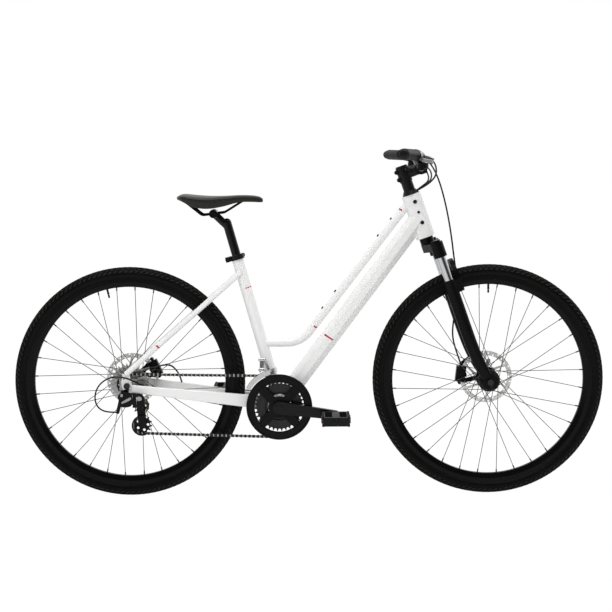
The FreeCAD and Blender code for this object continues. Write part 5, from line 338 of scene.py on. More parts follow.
# Headset cover, stem and riser bar: spun cover, forged stem and a butted tube, all anodised black.
# Four bolts pinch the bar in the stem, and two more clamp the stem on the steerer.
gloss_black = finish("gloss_black", (0.005, 0.005, 0.0053), 0.2, (0.16, 0.24), grain=500.0, bump=0.02, gloss=0.24)
dress(black_anodised, "headset_cover", "stem")
dress(gloss_black, "handlebar")

# Grips: soft rubber sleeves moulded with ribs and a flat palm rest behind, pushed over the bar.
# A moulded plug closes the outer end and an aluminium ring grips the bar at the inner one.
GRIP_LENGTH = 0.132
GRIP_RADIUS = 0.016
GRIP_WING = 0.009
GRIP_RIB = 0.0007
GRIP_RIB_PITCH = 0.0055
GRIP_RIB_LEAN = 0.7
GRIP_RIB_FADE = 0.06
GRIP_ROUND = 0.0025
GRIP_ROUND_SHARE = 0.03
GRIP_WING_POWER = 4
GRIP_STATIONS = 72
GRIP_SIDES = 44
GRIP_SHAPE = ((0.0, 0.0), (0.02, 0.75), (0.14, 1.0), (0.45, 0.85), (0.80, 0.52), (0.92, 0.2), (1.0, 0.0))
PLUG_PROFILE = ((0, 0.009), (0.0012, 0.0125), (0.0042, 0.0135), (0.006, 0.0135))
PLUG_OUT = 0.004
PLUG_SIDES = 32
RING_PROFILE = ((0, 0.0162), (0.0008, 0.0168), (0.0052, 0.0168), (0.006, 0.0162))
RING_LAP = 0.001
RING_SIDES = 36
BAR_END = Vector((0.2676, 0.318, 1.0358))
BAR_OUT = Vector((-0.3218, 0.9465, 0.0189)).normalized()


def share_at(shape, along):
    """The share that a shape of (along, share) has at one place, eased between its points."""
    for (start, low), (end, high) in zip(shape, shape[1:]):
        if along <= end:
            part = (along - start) / (end - start)
            part = part * part * (3 - 2 * part)
            return low + (high - low) * part
    return shape[-1][1]


def piece(name, mesh, made, body, smooth=True):
    """A finished mesh as an object that moves with its body."""
    bmesh.ops.recalc_face_normals(mesh, faces=mesh.faces)
    data = bpy.data.meshes.new(name)
    mesh.to_mesh(data)
    mesh.free()
    for one in made:
        data.materials.append(one)
    for face in data.polygons:
        face.use_smooth = smooth
    whole = bpy.data.objects.new(name, data)
    bpy.context.scene.collection.objects.link(whole)
    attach(whole, body)
    return whole


def loft(mesh, rings, closed=False, slot=0):
    """Skins rings of points, all with the same count, and caps the two ends unless they meet."""
    rows = [[mesh.verts.new(point) for point in ring] for ring in rings]
    count = len(rows[0])
    pairs = list(zip(rows, rows[1:]))
    if closed:
        pairs.append((rows[-1], rows[0]))
    for one, two in pairs:
        for index in range(count):
            after = (index + 1) % count
            mesh.faces.new((one[index], one[after], two[after], two[index])).material_index = slot
    if not closed:
        mesh.faces.new(rows[0][::-1]).material_index = slot
        mesh.faces.new(rows[-1]).material_index = slot


def lathe(mesh, start, axis, profile, sides=24, slot=0):
    """Turns a profile of (along, radius) about an axis."""
    axis = axis.normalized()
    side = axis.orthogonal().normalized()
    up = axis.cross(side)
    rings = []
    for along, radius in profile:
        ring = []
        for index in range(sides):
            angle = 2 * math.pi * index / sides
            ring.append(start + axis * along + (side * math.cos(angle) + up * math.sin(angle)) * radius)
        rings.append(ring)
    loft(mesh, rings, slot=slot)


grip_rubber = finish(
    "grip_rubber", (0.009, 0.009, 0.0088), 0.3, (0.46, 0.62), grain=1500.0, bump=0.3, gloss=0.2, edge=0,
)
plug_black = finish("plug_black", (0.008, 0.008, 0.008), 0.2, (0.3, 0.4), grain=900.0, bump=0.05, gloss=0.25)
for side in (1, -1):
    end = Vector((BAR_END.x, BAR_END.y * side, BAR_END.z))
    inward = Vector((-BAR_OUT.x, -BAR_OUT.y * side, -BAR_OUT.z))
    back = Vector((-1, 0, 0))
    back = (back - inward * back.dot(inward)).normalized()
    up = Vector((0, 0, 1))
    up = (up - inward * up.dot(inward) - back * up.dot(back)).normalized()
    mesh = bmesh.new()
    rings = []
    for station in range(GRIP_STATIONS + 1):
        along = station / GRIP_STATIONS
        reach = GRIP_LENGTH * along
        wing = share_at(GRIP_SHAPE, along) * GRIP_WING
        rib = GRIP_RIB * (0.5 - 0.5 * math.cos(2 * math.pi * reach / GRIP_RIB_PITCH))
        fade = min(1.0, along / GRIP_RIB_FADE, (1 - along) / GRIP_RIB_FADE)
        full = min(1.0, along / GRIP_ROUND_SHARE, (1 - along) / GRIP_ROUND_SHARE)
        girth = GRIP_RADIUS - GRIP_ROUND * (1 - full) ** 2
        ring = []
        for index in range(GRIP_SIDES):
            angle = 2 * math.pi * index / GRIP_SIDES
            lean = max(0.0, math.cos(angle))
            radius = girth + wing * lean ** GRIP_WING_POWER
            if lean < GRIP_RIB_LEAN:
                radius -= rib * fade
            ring.append(end + inward * reach + (back * math.cos(angle) + up * math.sin(angle)) * radius)
        rings.append(ring)
    loft(mesh, rings)
    lathe(mesh, end - inward * PLUG_OUT, inward, PLUG_PROFILE, PLUG_SIDES, 1)
    lathe(mesh, end + inward * (GRIP_LENGTH - RING_LAP), inward, RING_PROFILE, RING_SIDES, 2)
    name = "left_grip" if side == 1 else "right_grip"
    grip = piece(name, mesh, (grip_rubber, plug_black, black_anodised), "steering")
    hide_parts("grips")

# Brake and gear controls: cast master cylinders in silver paint above moulded black shifter pods.
# Each is clamped round the bar, and the levers turn on pins in them.
SILVER_PAINT = (0.2, 0.2, 0.2)
# The painted part of the castings: its centre, half size, turn, colour, roughness and metal.
CYLINDER_BOX = ((0.352, 0.0, 1.036), (0.034, 0.23, 0.0185), 0.0, SILVER_PAINT, 0.3, 0.75)
pod_black = finish(
    "pod_black", (0.006, 0.006, 0.0062), 0.25, (0.34, 0.48), grain=900.0, bump=0.12, gloss=0.22, edge=0.0008,
    patches=[CYLINDER_BOX],
)
lever_silver = finish("lever_silver", (0.25, 0.25, 0.25), 0.1, (0.26, 0.36), metal=0.8, grain=500.0, edge=0.0008)
paddle_black = finish("paddle_black", (0.007, 0.007, 0.0072), 0.2, (0.36, 0.5), grain=900.0, bump=0.1, gloss=0.22)
dress(pod_black, "bar_controls")
dress(lever_silver, "left_brake_lever", "right_brake_lever")
dress(paddle_black, "left_shift_paddle", "right_shift_paddle")

# Hoses and gear housings: nylon hose and spiral wound housing in black jackets, cut to length at the works.
# Each end is pushed into a fitting or a frame port, so nothing hangs loose.
HOSE_RADIUS = 0.0025
CABLE_RADIUS = 0.0023
CABLE_STEPS = 16
CABLE_ROUND = 5
GEAR_HOUSING = (
    (-0.490, -0.0665, 0.3455), (-0.520, -0.075, 0.362), (-0.548, -0.082, 0.377), (-0.580, -0.085, 0.381),
    (-0.611, -0.086, 0.371), (-0.633, -0.087, 0.348), (-0.641, -0.0875, 0.317), (-0.633, -0.087, 0.289),
    (-0.608, -0.0865, 0.2735), (-0.5773, -0.0865, 0.2735),
)
REAR_HOSE = (
    (-0.4599, 0.052, 0.3904), (-0.430, 0.053, 0.3964), (-0.4075, 0.055, 0.374), (-0.397, 0.0565, 0.352),
    (-0.392, 0.0573, 0.331),
)
FRONT_HOSE = (
    (0.3519, 0.1578, 1.0222), (0.3605, 0.1325, 1.0217), (0.379, 0.104, 1.012), (0.397, 0.078, 0.978),
    (0.411, 0.060, 0.934), (0.423, 0.048, 0.882), (0.433, 0.041, 0.828), (0.441, 0.037, 0.772),
    (0.447, 0.036, 0.718), (0.455, 0.033, 0.664), (0.460, 0.034, 0.618), (0.453, 0.036, 0.566),
    (0.444, 0.037, 0.518), (0.442, 0.0385, 0.474), (0.454, 0.0392, 0.430), (0.4695, 0.0389, 0.3864),
)
LEFT_GEAR = (
    (0.3391, 0.1512, 1.0024), (0.348, 0.125, 1.000), (0.362, 0.090, 0.990), (0.371, 0.055, 0.974),
    (0.369, 0.026, 0.955), (0.350, 0.010, 0.941), (0.327, 0.0065, 0.925),
)
RIGHT_GEAR = tuple((x, -y, z) for x, y, z in LEFT_GEAR)
RIGHT_HOSE = (
    (0.3519, -0.1578, 1.0222), (0.3605, -0.132, 1.0214), (0.374, -0.097, 1.012), (0.384, -0.061, 0.994),
    (0.386, -0.030, 0.972), (0.372, -0.008, 0.952), (0.352, 0.0005, 0.938), (0.3275, 0.0, 0.9245),
)
jacket = finish(
    "jacket_black", (0.006, 0.006, 0.0062), 0.2, (0.32, 0.44), grain=1400.0, bump=0.05, gloss=0.22, edge=0,
)


def line_through(name, points, radius):
    """A smooth line with the route's points as its control points."""
    curve = bpy.data.curves.new(name, "CURVE")
    curve.dimensions = "3D"
    spline = curve.splines.new("NURBS")
    spline.points.add(len(points) - 1)
    for control, place in zip(spline.points, points):
        control.co = (*place, 1.0)
    spline.order_u = 3
    spline.use_endpoint_u = True
    curve.resolution_u = CABLE_STEPS
    curve.bevel_depth = radius
    curve.bevel_resolution = CABLE_ROUND
    curve.use_fill_caps = radius > 0
    curve.materials.append(jacket)
    whole = bpy.data.objects.new(name, curve)
    bpy.context.scene.collection.objects.link(whole)
    return whole


# Each has its name, route, radius, length, body and the solid that it stands for.
CABLES = (
    ("rear_gear_housing", GEAR_HOUSING, CABLE_RADIUS, 0.281, "frame", "frame_cables"),
    ("rear_brake_hose", REAR_HOSE, HOSE_RADIUS, 0.106, "frame", "frame_cables"),
    ("left_gear_housing", LEFT_GEAR, CABLE_RADIUS, 0.196, "steering", "bar_cables"),
    ("right_gear_housing", RIGHT_GEAR, CABLE_RADIUS, 0.196, "steering", "bar_cables"),
    ("rear_hose_at_bar", RIGHT_HOSE, HOSE_RADIUS, 0.230, "steering", "bar_cables"),
)
for name, points, radius, length, body, solid in CABLES:
    cable = line_through(name, points, radius)
    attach(cable, body)
    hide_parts(solid)

# The front hose bends between the bar and the sliding legs; here it is swept as a fixed tube mesh of its own, with no
# body.
HOSE_SIDES = 14
guide = line_through("front_hose_line", FRONT_HOSE, 0.0)
bpy.context.view_layer.update()
middle = bpy.data.meshes.new_from_object(guide)
hose_path = [vertex.co.copy() for vertex in middle.vertices]
bpy.data.objects.remove(guide)
mesh = bmesh.new()
rings = []
side = None
for index, point in enumerate(hose_path):
    ahead = hose_path[min(index + 1, len(hose_path) - 1)] - hose_path[max(index - 1, 0)]
    ahead.normalize()
    side = ahead.orthogonal() if side is None else side - ahead * side.dot(ahead)
    side.normalize()
    up = ahead.cross(side)
    ring = []
    for step in range(HOSE_SIDES):
        angle = 2 * math.pi * step / HOSE_SIDES
        ring.append(point + (side * math.cos(angle) + up * math.sin(angle)) * HOSE_RADIUS)
    rings.append(ring)
loft(mesh, rings)
bmesh.ops.recalc_face_normals(mesh, faces=mesh.faces)
hose_mesh = bpy.data.meshes.new("front_hose")
mesh.to_mesh(hose_mesh)
mesh.free()
hose_mesh.materials.append(jacket)
for face in hose_mesh.polygons:
    face.use_smooth = True
front_hose = bpy.data.objects.new("front_hose", hose_mesh)
bpy.context.scene.collection.objects.link(front_hose)
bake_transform(front_hose)
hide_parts("front_brake_hose")

# Wheels: rolled black rims on stainless spokes, turned hubs and laser cut disc rotors, held by skewers.
# Each skewer has a cast lever at its left end and a black nut at the other.
FRONT_AXLE = Vector((0.545, 0, 0.351))
REAR_AXLE = Vector((-0.545, 0, 0.351))
NUT_MIDDLE = -0.09
NUT_HALF = (0.03, 0.04, 0.03)
NUT_BLACK = (0.007, 0.007, 0.0072)
rim_black = finish("rim_black", (0.003, 0.003, 0.0031), 0.2, (0.24, 0.34), grain=500.0, bump=0.03, gloss=0.12)
spoke_grey = finish("spoke_grey", (0.06, 0.06, 0.062), 0.15, (0.3, 0.42), metal=0.5, grain=700.0, edge=0)
hub_black = finish("hub_black", (0.009, 0.009, 0.0095), 0.2, (0.24, 0.34), metal=0.2, grain=600.0, gloss=0.3)
rotor_steel = finish(
    "rotor_steel", (0.78, 0.78, 0.765), 0.1, (0.24, 0.38), metal=0.6, grain=260.0, bump=0.08, stretch=(3, 1, 3),
)
skewer_silver = finish("skewer_silver", (0.55, 0.55, 0.56), 0.1, (0.2, 0.32), metal=0.95, grain=600.0)
dress(rim_black, "front_rim", "rear_rim")
dress(spoke_grey, "front_spokes", "rear_spokes")
dress(hub_black, "front_hub", "rear_hub")
dress(rotor_steel, "front_rotor", "rear_rotor")
nut_black = finish(
    "nut_black", (0.55, 0.55, 0.56), 0.1, (0.2, 0.32), metal=0.95, grain=600.0,
    patches=[
        ((axle.x, NUT_MIDDLE, axle.z), NUT_HALF, 0.0, NUT_BLACK, 0.34, 0.0) for axle in (REAR_AXLE, FRONT_AXLE)
    ],
)
dress(skewer_silver, "front_axle_lever", "rear_axle_lever")
dress(nut_black, "front_axle", "rear_axle")

# Disc brake calipers: two cast aluminium halves bolted together, painted black, on posts of the fork and the stay.
# The hose goes into a turned fitting on top of each.
dress(satin_black, "front_brake_caliper", "rear_brake_caliper")

# Tyres: black rubber moulded on a woven carcass, with angled shoulder blocks and rows of smaller ones between.
# Each sits in the rim's hooks over an inner tube, whose valve comes out through the rim.
TYRE_MIDDLE = 0.3319
TYRE_SECTION = 0.0191
TREAD_DEPTH = 0.0022
TYRE_WALL = 0.0026
LIP_TURN = math.radians(139.5)
TREAD_TURN = math.radians(80.0)
SHOULDER_TURN = math.radians(14.0)
TYRE_STEPS = 180
SECTION_STEPS = 30
BLOCK_COUNT = 132
BLOCK_SINK = 0.0006
BLOCK_TOP = 0.86
CORNERS = ((-1, -1), (1, -1), (1, 1), (-1, 1))
BLOCK_FACES = ((3, 2, 1, 0), (4, 5, 6, 7), (0, 1, 5, 4), (1, 2, 6, 5), (2, 3, 7, 6), (3, 0, 4, 7))
CRISP_ANGLE = math.radians(35.0)
# Each row has its two edges in degrees across the tyre, and its half length, phase and skew in pitches.
BLOCK_ROWS = (
    (2.0, 10.0, 0.26, 0.0, 0.22),
    (16.0, 29.0, 0.28, 0.5, 0.30),
    (35.0, 51.0, 0.29, 0.1, 0.42),
    (57.0, 80.0, 0.27, 0.6, 0.50),
)
VALVE_START = 0.2635
VALVE_SIDES = 16
VALVE_PROFILE = (
    (0, 0.0012), (0.0006, 0.0028), (0.009, 0.0030), (0.0095, 0.0022), (0.012, 0.0022), (0.0125, 0.0040),
    (0.0145, 0.0040), (0.015, 0.0032), (0.046, 0.0032),
)
FRONT_VALVE_TURN = math.radians(89.625)
REAR_VALVE_TURN = math.radians(103.025)
tyre_rubber = finish(
    "tyre_rubber", (0.003, 0.003, 0.0031), 0.3, (0.4, 0.55), grain=900.0, bump=0.1, gloss=0.1, edge=0,
)
tread_rubber = finish(
    "tread_rubber", (0.018, 0.0165, 0.0145), 0.35, (0.7, 0.86), grain=900.0, bump=0.35, gloss=0.15, edge=0,
)


def tyre_point(axle, around, across, radius):
    """A point of the tyre: around the wheel, across the section, at a radius of the section."""
    reach = TYRE_MIDDLE + radius * math.cos(across)
    return Vector((
        axle.x + reach * math.cos(around), axle.y + radius * math.sin(across), axle.z + reach * math.sin(around)
    ))


def tread_block(mesh, axle, around, low, high, half, skew):
    """One rubber block: its foot is sunk in the carcass and its top is a little smaller."""
    corners = []
    for radius, share in ((TYRE_SECTION - TREAD_DEPTH - BLOCK_SINK, 1.0), (TYRE_SECTION, BLOCK_TOP)):
        middle, span = (low + high) / 2, (high - low) / 2 * share
        for across, along in CORNERS:
            turn = around + half * share * along + skew * (across + 1) / 2
            corners.append(mesh.verts.new(tyre_point(axle, turn, middle + span * across, radius)))
    for face in BLOCK_FACES:
        mesh.faces.new([corners[index] for index in face]).material_index = 1


def tyre(name, axle, valve_turn, body, solid):
    """A whole tyre: a hollow carcass, its rows of blocks and the tube's valve."""
    mesh = bmesh.new()
    rings = []
    for step in range(TYRE_STEPS):
        around = 2 * math.pi * step / TYRE_STEPS
        ring = []
        for index in range(SECTION_STEPS + 1):
            across = LIP_TURN * (2 * index / SECTION_STEPS - 1)
            side = min(1.0, max(0.0, (abs(across) - TREAD_TURN) / SHOULDER_TURN))
            ring.append(tyre_point(axle, around, across, TYRE_SECTION - TREAD_DEPTH * (1 - side)))
        for index in range(SECTION_STEPS + 1):
            across = LIP_TURN * (1 - 2 * index / SECTION_STEPS)
            ring.append(tyre_point(axle, around, across, TYRE_SECTION - TREAD_DEPTH - TYRE_WALL))
        rings.append(ring)
    loft(mesh, rings, closed=True)
    pitch = 2 * math.pi / BLOCK_COUNT
    for index in range(BLOCK_COUNT):
        for low, high, half, phase, skew in BLOCK_ROWS:
            for side in (1, -1):
                around = (index + phase + (0.5 if side == 1 else 0.0)) * pitch
                near, far = sorted((math.radians(low) * side, math.radians(high) * side))
                lean = skew * pitch * side
                tread_block(mesh, axle, around, near, far, half * pitch, lean)
    out = Vector((math.cos(valve_turn), 0, math.sin(valve_turn)))
    lathe(mesh, axle + out * VALVE_START, out, VALVE_PROFILE, VALVE_SIDES)
    whole = piece(name, mesh, (tyre_rubber, tread_rubber), body, smooth=False)
    whole.data.shade_smooth()
    edges = whole.modifiers.new("crisp_blocks", "EDGE_SPLIT")
    edges.split_angle = CRISP_ANGLE
    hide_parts(solid)


tyre("front_tread", FRONT_AXLE, FRONT_VALVE_TURN, "front_wheel", "front_tyre")
tyre("rear_tread", REAR_AXLE, REAR_VALVE_TURN, "rear_wheel", "rear_tyre")

# Chainset: cold forged black cranks on a square spindle, three stamped steel rings and a moulded guard.
# Four posts on the right crank carry the rings and the guard.
ring_steel = finish("ring_steel", (0.022, 0.022, 0.0225), 0.25, (0.3, 0.44), metal=0.4, grain=500.0)
guard_black = finish(
    "guard_black", (0.004, 0.004, 0.0042), 0.2, (0.3, 0.42), grain=900.0, bump=0.06, gloss=0.14, edge=0.0009,
)
crank_black = finish("crank_black", (0.004, 0.004, 0.0042), 0.2, (0.2, 0.3), grain=500.0, gloss=0.2, edge=0.0016)
dress(crank_black, "crank_arms")
dress(ring_steel, "chainrings")
dress(guard_black, "chain_guard")
BRACKET = Vector((-0.0895, 0.0, 0.280))
GUARD_FACE = -0.0600
GUARD_LAP = 0.0002
GUARD_SINK = 0.0008
GUARD_STEPS = 120
GUARD_RIM = ((0.0, 0.0932), (0.0016, 0.0938), (0.0024, 0.0950), (0.0024, 0.0975), (0.0015, 0.0990), (0.0, 0.0993))
GUARD_STEP = ((0.0, 0.0758), (0.0009, 0.0764), (0.0009, 0.0792), (0.0, 0.0803))
for name, profile in (("guard_rim", GUARD_RIM), ("guard_step", GUARD_STEP)):
    mesh = bmesh.new()
    rings = []
    for step in range(GUARD_STEPS):
        angle = 2 * math.pi * step / GUARD_STEPS
        out = Vector((math.cos(angle), 0, math.sin(angle)))
        ring = [BRACKET + out * radius + Vector((0, GUARD_FACE + GUARD_LAP - rise, 0)) for rise, radius in profile]
        ring += [point + Vector((0, GUARD_SINK, 0)) for point in (ring[-1], ring[0])]
        rings.append(ring)
    loft(mesh, rings, closed=True)
    piece(name, mesh, (guard_black,), "crankset")

# Pedals: moulded black bodies on steel spindles, with an orange reflector let into each long side.
# Bearings inside let the body turn on the spindle.
REFLECTOR_ORANGE = (0.5, 0.085, 0.008)
REFLECTOR_HALF = (0.003, 0.0262, 0.0048)
REFLECTOR_ROUGHNESS = 0.2
PEDAL_HALF = 0.041
# Each pedal has its side, its middle and the way out along its spindle.
PEDALS = (("right", Vector((0.0789, -0.129, 0.2569)), -1), ("left", Vector((-0.2579, 0.129, 0.3031)), 1))
pedal_black = {}
for side, middle, outward in PEDALS:
    reflectors = [middle + Vector((end * PEDAL_HALF, 0, 0)) for end in (-1, 1)]
    pedal_black[side] = finish(
        "pedal_black_" + side, (0.006, 0.006, 0.006), 0.25, (0.42, 0.58), grain=1000.0, bump=0.16, gloss=0.22,
        edge=0.0007, patches=[
            (place, REFLECTOR_HALF, 0.0, REFLECTOR_ORANGE, REFLECTOR_ROUGHNESS, 0.0) for place in reflectors
        ],
    )
    dress(pedal_black[side], side + "_pedal")

# Pedal studs and caps: tapered studs moulded in rows on both treads, so that a shoe grips.
# A pressed cap closes the bearing at the outer end of each pedal.
STUD_FOOT = 0.0032
STUD_HEAD = 0.0022
STUD_RISE = 0.0024
STUD_SINK = 0.0006
STUD_ROW = 0.0375
STUD_COUNT = 8
STUD_PITCH = 0.0112
TREAD_HALF = 0.013
CAP_START = 0.0468
CAP_SIDES = 32
CAP_PROFILE = (
    (0.0, 0.0105), (0.0012, 0.0105), (0.0022, 0.0096), (0.0026, 0.0070), (0.0034, 0.0066), (0.0036, 0.0020),
)
for side, middle, outward in PEDALS:
    mesh = bmesh.new()
    for end in (-1, 1):
        for face in (-1, 1):
            for index in range(STUD_COUNT):
                row = (index - (STUD_COUNT - 1) / 2) * STUD_PITCH
                foot = middle + Vector((end * STUD_ROW, row, face * TREAD_HALF))
                rings = []
                for rise, half in ((-STUD_SINK, STUD_FOOT), (STUD_RISE, STUD_HEAD)):
                    rings.append([
                        foot + Vector((half * across, half * along, face * rise)) for across, along in CORNERS
                    ])
                loft(mesh, rings)
    lathe(mesh, middle + Vector((0, outward * CAP_START, 0)), Vector((0, outward, 0)), CAP_PROFILE, CAP_SIDES)
    piece(side + "_pedal_studs", mesh, (pedal_black[side],), side + "_pedal", smooth=False)

# Chain and sprockets: rolled steel links, oiled brown in places, on nickel plated sprockets.
# The sprockets slide on the freehub's splines.
LINK_PITCH = 0.0127
PLATE_DARK = (0.012, 0.012, 0.012)
PLATE_BRONZE = (0.11, 0.07, 0.03)
PLATE_SILVER = (0.45, 0.45, 0.45)
BEAD_FADE = 0.25
# Each row of beads has its pitch, phase, height on the wave and colour.
BEADS = ((LINK_PITCH, 0.0, 0.62, PLATE_SILVER), (LINK_PITCH * 2, 0.5, 0.86, PLATE_BRONZE))
chain_steel = finish("chain_steel", PLATE_DARK, 0.4, (0.26, 0.46), metal=0.6, grain=300.0, bump=0.05)
tree = chain_steel.node_tree
shader = tree.nodes["Principled BSDF"]
place = tree.nodes.new("ShaderNodeSeparateXYZ")
tree.links.new(tree.nodes["Texture Coordinate"].outputs["Object"], place.inputs[0])
colour = shader.inputs["Base Color"].links[0].from_socket
for pitch, shift, share, paint in BEADS:
    wave = tree.nodes.new("ShaderNodeMath")
    wave.operation = "MULTIPLY_ADD"
    wave.inputs[1].default_value = 2 * math.pi / pitch
    wave.inputs[2].default_value = 2 * math.pi * shift
    tree.links.new(place.outputs["X"], wave.inputs[0])
    beat = tree.nodes.new("ShaderNodeMath")
    beat.operation = "SINE"
    tree.links.new(wave.outputs[0], beat.inputs[0])
    crest = tree.nodes.new("ShaderNodeMapRange")
    crest.inputs["From Min"].default_value = share - BEAD_FADE
    crest.inputs["From Max"].default_value = share + BEAD_FADE
    tree.links.new(beat.outputs[0], crest.inputs["Value"])
    colour = laid_over(tree, crest.outputs[0], colour, shade(paint, 1.0), colour=True)
tree.links.new(colour, shader.inputs["Base Color"])
sprocket_nickel = finish("sprocket_nickel", (0.42, 0.42, 0.42), 0.15, (0.22, 0.36), metal=1.0, grain=300.0)
dress(chain_steel, "chain")
dress(sprocket_nickel, "cassette")

# Derailleurs: pressed steel cages and links on cast knuckles, painted black or plated.
# Pins and springs join the links, and moulded jockey wheels run in the rear cage.
derailleur_black = finish(
    "derailleur_black", (0.005, 0.005, 0.0052), 0.22, (0.28, 0.4), grain=700.0, bump=0.06, gloss=0.14,
)
link_silver = finish("link_silver", (0.36, 0.36, 0.365), 0.12, (0.26, 0.38), metal=0.9, grain=500.0)
clamp_silver = finish("clamp_silver", (0.66, 0.66, 0.665), 0.08, (0.2, 0.32), metal=0.9, grain=500.0)
dress(clamp_silver, "front_derailleur_body", "front_derailleur_link", "front_derailleur_cage")
dress(link_silver, "derailleur_outer_link")
dress(
    derailleur_black, "rear_derailleur_body", "derailleur_inner_link", "derailleur_knuckle", "derailleur_cage",
    "guide_pulley", "tension_pulley",
)

# Rear derailleur covers: moulded shells in satin black over the bracket knuckle, the outer link and the cage knuckle.
# Two carry a pressed silver plate, and a guard hoop of flat steel is riveted to the cage round the lower pulley.
COVER_BACK = -0.1036
COVER_FRONT = -0.1085
COVER_BEVEL = 0.0013
PLATE_RISE = 0.0008
PLATE_LAP = 0.0004
OUT = Vector((0, -1, 0))
BRACKET_COVER = (
    (-0.566, 0.318), (-0.562, 0.333), (-0.553, 0.337), (-0.540, 0.335), (-0.5268, 0.3335), (-0.5252, 0.328),
    (-0.5252, 0.300), (-0.531, 0.2935), (-0.548, 0.291), (-0.560, 0.293), (-0.5665, 0.300),
)
LINK_COVER = (
    (-0.5243, 0.3325), (-0.5190, 0.3335), (-0.5140, 0.3325), (-0.5132, 0.3300), (-0.5132, 0.2930), (-0.5150, 0.2905),
    (-0.5225, 0.2910), (-0.5243, 0.2950),
)
LINK_COVER_BACK = -0.1082
LINK_COVER_FRONT = -0.1112
LINK_BOSS = Vector((-0.5190, LINK_COVER_BACK - 0.0005, 0.3115))
BOSS_PROFILE = ((0, 0.0026), (0.0144, 0.0026))
BOSS_SIDES = 16
KNUCKLE_COVER = (
    (-0.5122, 0.3300), (-0.5100, 0.334), (-0.497, 0.332), (-0.488, 0.320), (-0.4875, 0.300), (-0.494, 0.290),
    (-0.5095, 0.289), (-0.5122, 0.295),
)
BRACKET_PLATE = (
    (-0.5575, 0.3085), (-0.5310, 0.3232), (-0.5278, 0.3215), (-0.5278, 0.3165), (-0.5325, 0.3125), (-0.5540, 0.3030),
    (-0.5580, 0.3045),
)
KNUCKLE_PLATE = ((-0.5115, 0.3255), (-0.4990, 0.3245), (-0.4950, 0.3165), (-0.5015, 0.3105), (-0.5110, 0.3120))
PLATE_BOLT = Vector((-0.5565, COVER_FRONT + PLATE_LAP, 0.3275))
BOLT_SIDES = 24
BOLT_PROFILE = (
    (0, 0.0042), (0.0012, 0.0042), (0.0018, 0.0036), (0.0018, 0.0018), (0.0008, 0.0016), (0.0007, 0.0004),
)
HOOP_CENTRE = Vector((-0.503241, -0.0662, 0.228196))
HOOP_RADII = (0.0262, 0.0308)
HOOP_HALF = 0.001
HOOP_TURNS = (78.0, 300.0)
HOOP_STEPS = 60
plate_silver = finish("plate_silver", (0.42, 0.42, 0.415), 0.1, (0.26, 0.36), metal=0.85, grain=500.0, edge=0)


CORNER_CUTS = 3
CUT_SHARES = (0.25, 0.75)
# The front edge of a moulding: how far behind its face each ring is, and how far in, in bevels.
SOFT_EDGE = ((1.0, 0.0), (0.3, 0.4), (0.0, 1.2))


def rounded(outline):
    """Cuts the corners of a closed outline until they are round."""
    for step in range(CORNER_CUTS):
        cut = []
        for one, two in zip(outline, outline[1:] + outline[:1]):
            for share in CUT_SHARES:
                cut.append((one[0] + (two[0] - one[0]) * share, one[1] + (two[1] - one[1]) * share))
        outline = tuple(cut)
    return outline


def shell(mesh, outline, back, front, bevel, slot=0):
    """A flat moulding that stands across the bike, with a softened front edge."""
    outline = rounded(outline)
    middle_x = sum(x for x, z in outline) / len(outline)
    middle_z = sum(z for x, z in outline) / len(outline)
    reach = max(math.hypot(x - middle_x, z - middle_z) for x, z in outline)
    rings = []
    for y, inset in [(back, 0.0)] + [(front + bevel * depth, bevel * inward) for depth, inward in SOFT_EDGE]:
        share = 1 - inset / reach
        rings.append([
            Vector((middle_x + (x - middle_x) * share, y, middle_z + (z - middle_z) * share)) for x, z in outline
        ])
    loft(mesh, rings, slot=slot)


mesh = bmesh.new()
shell(mesh, BRACKET_COVER, COVER_BACK, COVER_FRONT, COVER_BEVEL)
shell(mesh, BRACKET_PLATE, COVER_FRONT + PLATE_LAP, COVER_FRONT - PLATE_RISE, PLATE_RISE, 1)
lathe(mesh, PLATE_BOLT, OUT, BOLT_PROFILE, BOLT_SIDES, 1)
piece("bracket_cover", mesh, (derailleur_black, plate_silver), "frame", smooth=False)
mesh = bmesh.new()
shell(mesh, LINK_COVER, LINK_COVER_BACK, LINK_COVER_FRONT, COVER_BEVEL)
lathe(mesh, LINK_BOSS, -OUT, BOSS_PROFILE, BOSS_SIDES)
piece("link_cover", mesh, (derailleur_black,), "derailleur_outer_link", smooth=False)
mesh = bmesh.new()
shell(mesh, KNUCKLE_COVER, COVER_BACK, COVER_FRONT, COVER_BEVEL)
shell(mesh, KNUCKLE_PLATE, COVER_FRONT + PLATE_LAP, COVER_FRONT - PLATE_RISE, PLATE_RISE, 1)
piece("knuckle_cover", mesh, (derailleur_black, plate_silver), "derailleur_knuckle", smooth=False)
mesh = bmesh.new()
rings = []
for step in range(HOOP_STEPS + 1):
    turn = math.radians(HOOP_TURNS[0] + (HOOP_TURNS[1] - HOOP_TURNS[0]) * step / HOOP_STEPS)
    out = Vector((math.cos(turn), 0, math.sin(turn)))
    rings.append([
        HOOP_CENTRE + out * HOOP_RADII[far] + Vector((0, HOOP_HALF * side, 0))
        for far, side in ((0, -1), (1, -1), (1, 1), (0, 1))
    ])
loft(mesh, rings)
piece("cage_hoop", mesh, (derailleur_black,), "derailleur_cage", smooth=False)

# Seatpost and saddle rails: a black anodised tube with a forged cradle, and a bent steel rail wire in black.
# One bolt clamps the rails between the cradle's two jaws.
dress(gloss_black, "seatpost")
dress(satin_black, "saddle_rails")

# Saddle: foam under a dark leatherette cover, stretched over a moulded black shell and stapled beneath.
# A sewn seam runs along each side, and the top dips along its middle.
SADDLE_REAR = -0.392
SADDLE_LENGTH = 0.258
SADDLE_HALF = 0.0825
SADDLE_TOP = 0.922
SADDLE_DEPTH = 0.044
